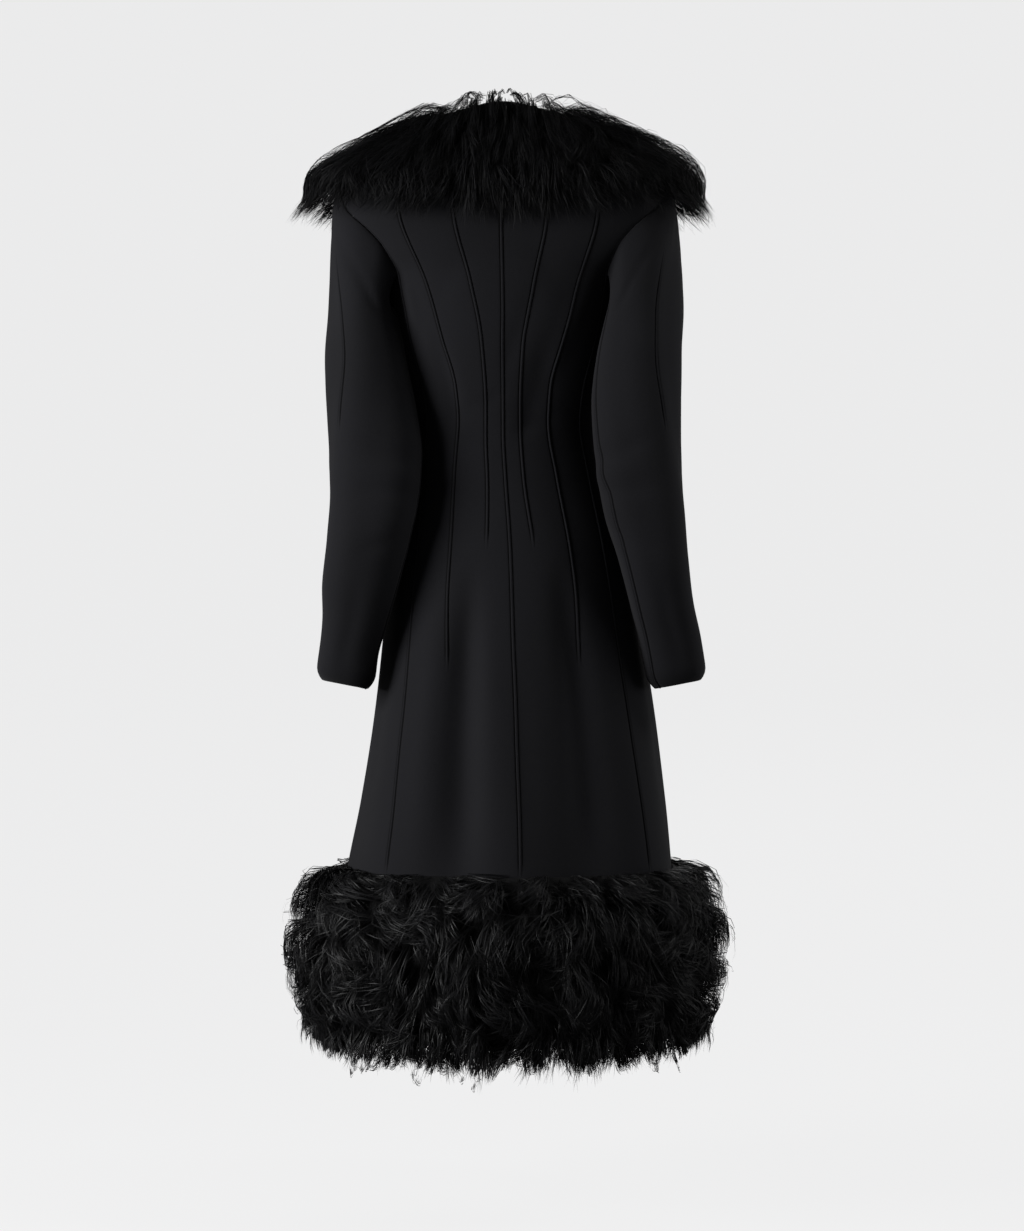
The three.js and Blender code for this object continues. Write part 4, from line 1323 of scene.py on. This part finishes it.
@dataclass
class Fur:
    """Long hair in locks and wisps over a dense pelt, in mm, radians and shares."""

    room: FurRoom
    lock: float = 30.0
    wisps: int = 10
    hairs: int = 10
    segments: int = 4
    hair_length: tuple[float, float] = (52.0, 84.0)
    wisp_length: tuple[float, float] = (0.8, 1.12)
    own_length: tuple[float, float] = (0.8, 1.08)
    shortest: float = 15.0
    width: float = 0.8
    widths: tuple[float, float] = (0.6, 1.25)
    roll: float = 0.75
    swirl: float = 1.2
    swirl_length: float = 95.0
    curl: float = 1.4
    curl_length: float = 70.0
    wisp_turn: float = 0.28
    own_turn: float = 0.1
    sway: float = 0.25
    wave: float = 1.6
    wisp_spread: float = 0.42
    own_spread: float = 2.4
    gather: float = 0.76
    wisp_gather: float = 0.8
    edge_from: float = 0.78
    edge_over: float = 0.15
    edge_loose: float = 0.45
    stray: float = 0.03
    stray_turn: float = 0.3
    stray_more: float = 0.2
    stray_lift: float = 0.12
    lowest: float = 0.42
    lift_range: tuple[float, float] = (0.3, 1.12)
    own_lift: float = 0.05
    ruffle: float = 0.16
    rooted: float = 1.0
    root_until: float = 0.97
    reach: tuple[float, float] = (1.0, 1.09)
    upward: float = 0.08
    fringe: int = 2
    pelt_deep: float = 0.4
    pelt_until: float = 0.96
    pelt_lumps: float = 0.1

    def swirl_at(self, x: Array, y: Array, degrees: Array, fall: Array, ripple: Ripple) -> Array:
        """Angle from the fall at which the hair lies."""
        return self.swirl * ripple(x, y)

    def sunk(self, degrees: Array) -> Array:
        """Share of its height that the fur loses along a parting."""
        return 0.0 * degrees

    def ending(self, degrees: Array) -> Array:
        """Share of the full fall at which the hair ends."""
        return 1.0 + 0.0 * degrees

    def locks(self, low: float, high: float, mm_per_degree: float, rng: np.random.Generator) -> Locks:
        """Draws the locks between two angles.

        Args:
            low: Lowest degrees of the roots.
            high: Highest degrees.
            mm_per_degree: Length of one degree round the fur.
            rng: The source of chance.

        Returns:
            The locks.
        """
        across = max(2, round((high - low) * mm_per_degree / self.lock))
        down = round(self.room.length * self.rooted / self.lock)
        grid_u, grid_v = np.meshgrid(np.arange(across), np.arange(down + self.fringe))
        jitter = rng.uniform(-0.5, 0.5, (2, grid_u.size))
        u = lerp(low, high, (grid_u.ravel() + 0.5 + jitter[0]) / across)
        last = self.root_until + 0.06 * jitter[1]
        v = self.rooted * np.minimum((grid_v.ravel() + 0.5 + jitter[1]) / down, last)
        swirl, twist = Ripple(rng, self.swirl_length), Ripple(rng, self.curl_length)
        x, y = u * mm_per_degree, v * self.room.length
        length = rng.uniform(*self.hair_length, u.size)
        lift = rng.uniform(self.lowest, 1.0, u.size) * (1 - self.sunk(u))
        shade = rng.uniform(0, 1, u.size)
        return Locks(u, v, self.swirl_at(x, y, u, v, swirl), self.curl * twist(x, y), length, lift, shade)

    def walk(self, direction: Array, run: Array) -> tuple[Array, Array]:
        """Follows each hair from its root.

        Args:
            direction: Angle from the fall at each of its points.
            run: The hairs' lengths.

        Returns:
            How far round and how far down each point lies from the root.
        """
        step = run / self.segments
        middle = (direction[:, :-1] + direction[:, 1:]) / 2
        zero = np.zeros((len(run), 1))
        gone_x = np.concatenate([zero, np.cumsum(np.sin(middle) * step, 1)], 1)
        gone_y = np.concatenate([zero, np.cumsum(np.cos(middle) * step, 1)], 1)
        return gone_x, gone_y

    def grow(self, low: float, high: float, rng: np.random.Generator) -> tuple[Array, Array, Array]:
        """Grows the hair between two angles.

        Args:
            low: Lowest degrees of the roots.
            high: Highest degrees.
            rng: The source of chance.

        Returns:
            Centre points of the hairs, the way out of the fur at each, and a shade for each hair.
        """
        room = self.room
        half = np.full(1, 0.5)
        probe = [room.place(half * (low + high) + off, half, half, half) for off in (0.5, -0.5)]
        mm_per_degree = float(np.linalg.norm(probe[0] - probe[1]))
        locks = self.locks(low, high, mm_per_degree, rng)
        wisps, many = locks.u.size * self.wisps, self.wisps * self.hairs
        count = locks.u.size * many

        wisp = rng.normal(0, self.wisp_spread * self.lock, (2, wisps))
        own = rng.normal(0, self.own_spread, (2, count))
        wisp_turn = np.repeat(rng.normal(0, self.wisp_turn, wisps), self.hairs)
        wisp_lift = np.repeat(rng.normal(0, self.ruffle, wisps), self.hairs)
        wisp_length = np.repeat(rng.uniform(*self.wisp_length, wisps), self.hairs)
        wisp_shade = np.repeat(rng.uniform(0, 1, wisps), self.hairs)
        wisp_room = rng.uniform(*self.reach, wisps) * np.repeat(self.ending(locks.u), self.wisps)
        wisp_room = wisp_room - np.repeat(locks.v, self.wisps)
        wisp_room = np.repeat(np.maximum(self.shortest, wisp_room * room.length - wisp[1]), self.hairs)
        wild = rng.uniform(0, 1, count) < self.stray

        t = np.linspace(0, 1, self.segments + 1)[None, :]
        own_turn = rng.normal(0, self.own_turn + self.stray_turn * wild, count)
        direction = (np.repeat(locks.angle, many) + wisp_turn + own_turn)[:, None]
        direction = direction + np.repeat(locks.turn, many)[:, None] * t
        direction = direction + self.sway * np.sin(2 * np.pi * (1.1 * t + rng.uniform(0, 1, (count, 1)))) * t
        run = np.repeat(locks.length, many) * wisp_length * (1 + self.stray_more * wild)
        run = (np.minimum(run, wisp_room) * rng.uniform(*self.own_length, count))[:, None]
        gone_x, gone_y = self.walk(direction, run)

        start = np.repeat(locks.v, many)[:, None]
        loose = 1 - self.edge_loose * ease((start - self.edge_from * self.rooted) / self.edge_over)
        in_lock = 1 - self.gather * loose * t**1.4
        in_wisp = 1 - self.wisp_gather * loose * t**1.1
        shake = self.wave * np.sin(2 * np.pi * (1.4 * t + rng.uniform(0, 1, (count, 1)))) * t
        beside, below = (np.repeat(place, self.hairs)[:, None] * in_lock for place in wisp)
        dx = beside + own[0][:, None] * in_wisp + gone_x + shake
        dy = below + own[1][:, None] * in_wisp + gone_y
        fall = start + dy / room.length
        root = np.clip(fall[:, :1], 0.0, 1.0) * np.ones_like(fall)
        fall = np.where(fall < 0, fall * self.upward, fall)
        degrees = np.repeat(locks.u, many)[:, None] + dx / mm_per_degree

        top = np.repeat(locks.lift, many) + wisp_lift + rng.normal(0, self.own_lift, count)
        top = (np.clip(top, *self.lift_range) + self.stray_lift * wild)[:, None]
        begin = top * lerp(0.85, 0.35, ease(root[:, :1] / 0.12))
        depth = begin + (top - begin) * np.sin(np.pi / 2 * np.minimum(1.0, t * 1.5)) - 0.1 * t**3
        points = room.place(degrees, fall, depth, root)
        inner, outer = room.faces(degrees, np.clip(fall, 0, 1))
        shade = 0.45 * np.repeat(locks.shade, many) + 0.3 * wisp_shade + 0.25 * rng.uniform(0, 1, count)
        return points, unit(outer - inner + 1e-6), shade

    def ribbons(self, name: str, low: float, high: float, rng: np.random.Generator,
                material: bpy.types.Material) -> bpy.types.Object:
        """Makes the hair between two angles as tapered ribbons in one mesh.

        Args:
            name: The piece's name.
            low: Lowest degrees of the roots.
            high: Highest degrees.
            rng: The source of chance.
            material: The hair's material.

        Returns:
            The piece.
        """
        points, out, shade = self.grow(low, high, rng)
        count = len(points)
        along = unit(np.gradient(points, axis=1))
        side = unit(np.cross(along, out))
        roll = rng.normal(0, self.roll, (count, 1, 1))
        side = side * np.cos(roll) + out * np.sin(roll)
        t = np.linspace(0, 1, self.segments + 1)
        taper = 0.75 + 0.5 * np.sin(np.pi * t) - 0.6 * t**2
        wide = self.width * rng.uniform(*self.widths, (count, 1)) * taper
        half = side * (wide / 2)[..., None]
        left, right = points - half, points + half
        pairs = np.stack([left[:, :-1], right[:, :-1]], 2).reshape(count, -1, 3)
        verts = np.concatenate([pairs, points[:, -1:]], 1)
        per = verts.shape[1]
        base = np.arange(count)[:, None, None] * per
        k = np.arange(self.segments - 1)[None, :, None] * 2
        quads = base + k + np.array([0, 1, 3, 2])
        tip = base[:, 0] + np.array([per - 3, per - 2, per - 1])
        corners = np.concatenate([quads.reshape(count, -1), tip], 1)
        sizes = np.tile(np.append(np.full(self.segments - 1, 4), 3), count)
        where = np.append(np.repeat(t[:-1], 2), 1.0)
        values = {"along": np.tile(where, count), "shade": np.repeat(shade, per)}
        return make_mesh(name, verts.reshape(-1, 3), corners.ravel(), sizes, values, material)

    def pelt(self, name: str, low: Callable[[Array], Array], high: Callable[[Array], Array],
             cells: tuple[int, int], rng: np.random.Generator,
             material: bpy.types.Material) -> bpy.types.Object:
        """Makes the dense fur under the hair.

        Args:
            name: The piece's name.
            low: Degrees of its first edge at shares down the fall.
            high: Degrees of its last edge.
            cells: Rows and columns.
            rng: The source of chance.
            material: The underfur's material.

        Returns:
            The piece.
        """
        fall = np.linspace(0, self.pelt_until, cells[0])[:, None]
        degrees = lerp(low(fall), high(fall), np.linspace(0, 1, cells[1])[None, :])
        fall = fall + 0 * degrees
        inner, outer = self.room.faces(degrees, fall)
        lumps = Ripple(rng, self.lock * 1.3)(degrees * 4.5, fall * self.room.length)
        deep = self.pelt_deep + self.pelt_lumps * lumps * np.sin(np.pi * fall)
        body = (outer - inner) * deep[..., None]
        return make_wall(name, inner + body, inner, {}, material)


@dataclass
class CollarFur(Fur):
    """The collar: finer, straighter hair combed down and out."""

    room: FurRoom = field(default_factory=CollarRoom)
    lock: float = 22.0
    wisps: int = 8
    hairs: int = 9
    hair_length: tuple[float, float] = (58.0, 92.0)
    width: float = 0.58
    swirl: float = 0.26
    curl: float = 0.4
    wave: float = 0.9
    gather: float = 0.42
    lowest: float = 0.6
    rooted: float = 0.8
    reach: tuple[float, float] = (1.0, 1.2)
    ruffle: float = 0.2
    stray: float = 0.015
    fringe: int = 1
    pelt_deep: float = 0.45
    pelt_until: float = 0.8
    node: str = "fur_collar"
    until: float = 178.0

    def build(self, hair: bpy.types.Material, pelt: bpy.types.Material) -> list[bpy.types.Object]:
        rng = np.random.default_rng(SEED)
        end = self.room.end
        under = self.pelt("collar_pelt", lambda fall: -end(fall), end, (26, 180), rng, pelt)
        made = [declare(under, self.node)]
        for side, low, high in ((Side.RIGHT, -self.until, 0.0), (Side.LEFT, 0.0, self.until)):
            piece = self.ribbons(f"collar_hair_{side.word}", low, high, rng, hair)
            made.append(declare(piece, self.node))
        return made


@dataclass
class HemFur(Fur):
    """The hem band: chunky curling locks whose lower ends hang in points."""

    room: FurRoom = field(default_factory=HemRoom)
    calm: tuple[float, float] = (-80.0, -25.0)
    calm_fade: float = 15.0
    straight_from: float = 0.6
    straight_over: float = 0.2
    side_rise: float = 0.085
    part_turn: float = 0.5
    part_wide: float = 4.5
    part_deep: float = 0.3
    pelt_gap: float = 0.1

    def swirl_at(self, x: Array, y: Array, degrees: Array, fall: Array, ripple: Ripple) -> Array:
        """Swirling at the middle, straighter at the lower edge and in the calm stretch."""
        first, last = self.calm[0] - self.calm_fade, self.calm[1] + self.calm_fade
        calm = ease((degrees - first) / self.calm_fade) * ease((last - degrees) / self.calm_fade)
        calm = calm * ease((self.straight_from - fall) / self.straight_over)
        edge = ease((fall - self.straight_from) / self.straight_over)
        parting = self.part_turn * np.sign(degrees) * np.exp(-((degrees / self.part_wide) ** 2))
        return self.swirl * (1 - 0.75 * edge) * (1 - 0.7 * calm) * ripple(x, y) + parting

    def sunk(self, degrees: Array) -> Array:
        """The parting where the halves meet at centre back."""
        return self.part_deep * np.exp(-((degrees / self.part_wide) ** 2))

    def ending(self, degrees: Array) -> Array:
        """The band is a little shorter at the sides."""
        return 1.0 - self.side_rise * np.abs(np.sin(np.radians(degrees))) ** 3

    def build(self, hair: bpy.types.Material, pelt: bpy.types.Material) -> list[bpy.types.Object]:
        """Makes and declares both halves of the band."""
        rng = np.random.default_rng(SEED + 1)
        made = []
        for side in Side:
            node = f"hem_fur_{side.word}"
            s = side.value
            under = self.pelt(f"hem_pelt_{side.word}", lambda fall: s * self.pelt_gap + 0 * fall,
                              lambda fall: s * (180.0 - self.pelt_gap) + 0 * fall, (34, 130), rng, pelt)
            made.append(declare(under, node))
            for part, low, high in (("back", 0.0, 90.0), ("front", 90.0, 180.0)):
                low, high = sorted((s * low, s * high))
                piece = self.ribbons(f"hem_hair_{side.word}_{part}", low, high, rng, hair)
                made.append(declare(piece, node))
        return made


@dataclass
class Buttons:
    """The four buttons of the front."""

    heights: tuple[float, ...] = (-262.0, -362.0, -462.0, -562.0)
    clears: tuple[float, ...] = (-0.3, 0.8, 0.8, 0.8)
    sides: int = 48
    profile: tuple[tuple[float, float], ...] = (
        (4.5, 0.0), (4.5, 1.8), (11.5, 2.0), (12.9, 2.3), (13.8, 3.0), (14.0, 3.7), (13.9, 4.7), (13.5, 5.4),
        (12.8, 5.75), (11.9, 5.6), (11.0, 5.0), (9.4, 4.6), (5.0, 4.4), (0.02, 4.35),
    )

    def build(self, horn: bpy.types.Material) -> list[bpy.types.Object]:
        made = []
        for i, (z, clear) in enumerate(zip(self.heights, self.clears)):
            at = np.array(180.0)
            out = BODY.normal(at, np.array(z))
            base = BODY.point(at, np.array(z)) + out * (LAP.lift + clear)
            right = unit(np.cross(UP, out))
            up = np.cross(out, right)
            t = 2 * np.pi * np.arange(self.sides) / self.sides
            circle = np.cos(t)[:, None] * right + np.sin(t)[:, None] * up
            rings = np.concatenate([base + circle * r + out * h for r, h in self.profile])
            n, k = self.sides, np.arange(self.sides)
            nxt = (k + 1) % n
            quads = np.concatenate([np.stack([j * n + k, j * n + nxt, (j + 1) * n + nxt, (j + 1) * n + k], 1)
                                    for j in range(len(self.profile) - 1)])
            corners = np.concatenate([quads.ravel(), k[::-1], k + (len(self.profile) - 1) * n])
            sizes = np.append(np.full(len(quads), 4), [n, n])
            button = make_mesh(f"horn_button_{i + 1}", rings, corners, sizes, None, horn)
            made.append(declare(button, f"button_{i + 1}"))
        return made


@dataclass(frozen=True)
class Lamp:
    """A soft square light that faces the coat: its place and side in metres, and its power in watts."""

    name: str
    at: tuple[float, float, float]
    size: float
    power: float


@dataclass
class Studio:
    """Camera, lights and the pale room, placed for the photograph's view."""

    distance: float = 4200.0
    centre: tuple[float, float] = (-5.2, -631.0)
    mm_per_pixel: float = 1.3
    sensor: float = 36.0
    floor_z: float = -1390.0
    flat: float = 2.0
    bowl: float = 11.0
    bowl_rings: int = 40
    sides: int = 96
    sky: float = 0.1
    lamps: tuple[Lamp, ...] = (
        Lamp("key", (2.05, 1.15, -0.12), 1.1, 84.0),
        Lamp("high", (-2.3, 0.3, 1.6), 0.9, 26.0),
        Lamp("side", (-3.0, 0.5, -0.5), 1.6, 28.0),
        Lamp("front", (-0.8, -4.2, 1.4), 2.4, 45.0),
    )

    def camera(self) -> None:
        """Places the camera behind the coat, level with its middle."""
        data = bpy.data.cameras.new("camera")
        data.sensor_width = self.sensor
        data.lens = self.sensor * self.distance / (self.mm_per_pixel * PHOTO[1])
        data.clip_end = 60.0
        camera = bpy.data.objects.new("camera", data)
        camera.location = (self.centre[0] * MM, self.distance * MM, self.centre[1] * MM)
        camera.rotation_euler = (math.pi / 2, 0.0, math.pi)
        bpy.context.scene.collection.objects.link(camera)
        bpy.context.scene.camera = camera

    def light(self, lamp: Lamp) -> None:
        """Adds a lamp, aimed at the middle of the coat."""
        data = bpy.data.lights.new(lamp.name, "AREA")
        data.size, data.energy = lamp.size, lamp.power
        placed = bpy.data.objects.new(lamp.name, data)
        placed.location = lamp.at
        aim = Vector((0.0, 0.0, self.centre[1] * MM)) - Vector(lamp.at)
        placed.rotation_euler = aim.to_track_quat("-Z", "Y").to_euler()
        placed.visible_camera = False
        bpy.context.scene.collection.objects.link(placed)

    def room(self) -> None:
        """Makes the floor, which curves up far away all round."""
        radii = [(self.flat / 2, 0.0), (self.flat, 0.0)]
        radii += [(self.flat + self.bowl * math.sin(a), self.bowl * (1 - math.cos(a)))
                  for a in np.linspace(0.03, 1.5, self.bowl_rings)]
        n = self.sides
        t = np.linspace(0, 2 * np.pi, n, endpoint=False)
        rings = [np.stack([r * np.cos(t), r * np.sin(t), np.full(n, h)], 1) for r, h in radii]
        points = np.concatenate([[[0.0, 0.0, 0.0]], *rings]) / MM + np.array([0.0, 0.0, self.floor_z])
        k, nxt = np.arange(n) + 1, (np.arange(n) + 1) % n + 1
        fan = np.stack([np.zeros(n, int), k, nxt], 1)
        quads = np.concatenate([np.stack([j * n + k, j * n + n + k, j * n + n + nxt, j * n + nxt], 1)
                                for j in range(len(rings) - 1)])
        corners = np.concatenate([fan.ravel(), quads.ravel()])
        sizes = np.concatenate([np.full(n, 3), np.full(len(quads), 4)])
        floor = make_mesh("studio_floor", points, corners, sizes, None, Floor().material())
        floor.visible_diffuse = floor.visible_glossy = False

    def build(self) -> None:
        """Makes the camera, the room and the lights."""
        self.camera()
        self.room()
        world = bpy.data.worlds.new("studio")
        world.use_nodes = True
        sky = world.node_tree.nodes["Background"].inputs
        sky["Color"].default_value = (1.0, 1.0, 1.0, 1.0)
        sky["Strength"].default_value = self.sky
        bpy.context.scene.world = world
        bpy.context.scene.view_settings.view_transform = "Standard"
        for lamp in self.lamps:
            self.light(lamp)


def main() -> None:
    """Builds the coat's pieces in order and reports each."""
    logging.basicConfig(level=logging.INFO, format="%(message)s")
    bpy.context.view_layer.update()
    Studio().build()
    wool, pelt, horn = Wool().material(), Pelt().material(), Horn().material()
    combed = Hair("combed_fur", grey(0.008, 1.14), 0.58, 0.09).material()
    curled = Hair("curled_fur", grey(0.014, 1.1), 0.46, 0.15).material()
    CoatBody().build(wool)
    CoatSleeves().build(wool)
    CollarFur().build(combed, pelt)
    HemFur().build(curled, pelt)
    Buttons().build(horn)


if __name__ == "__main__":
    main()
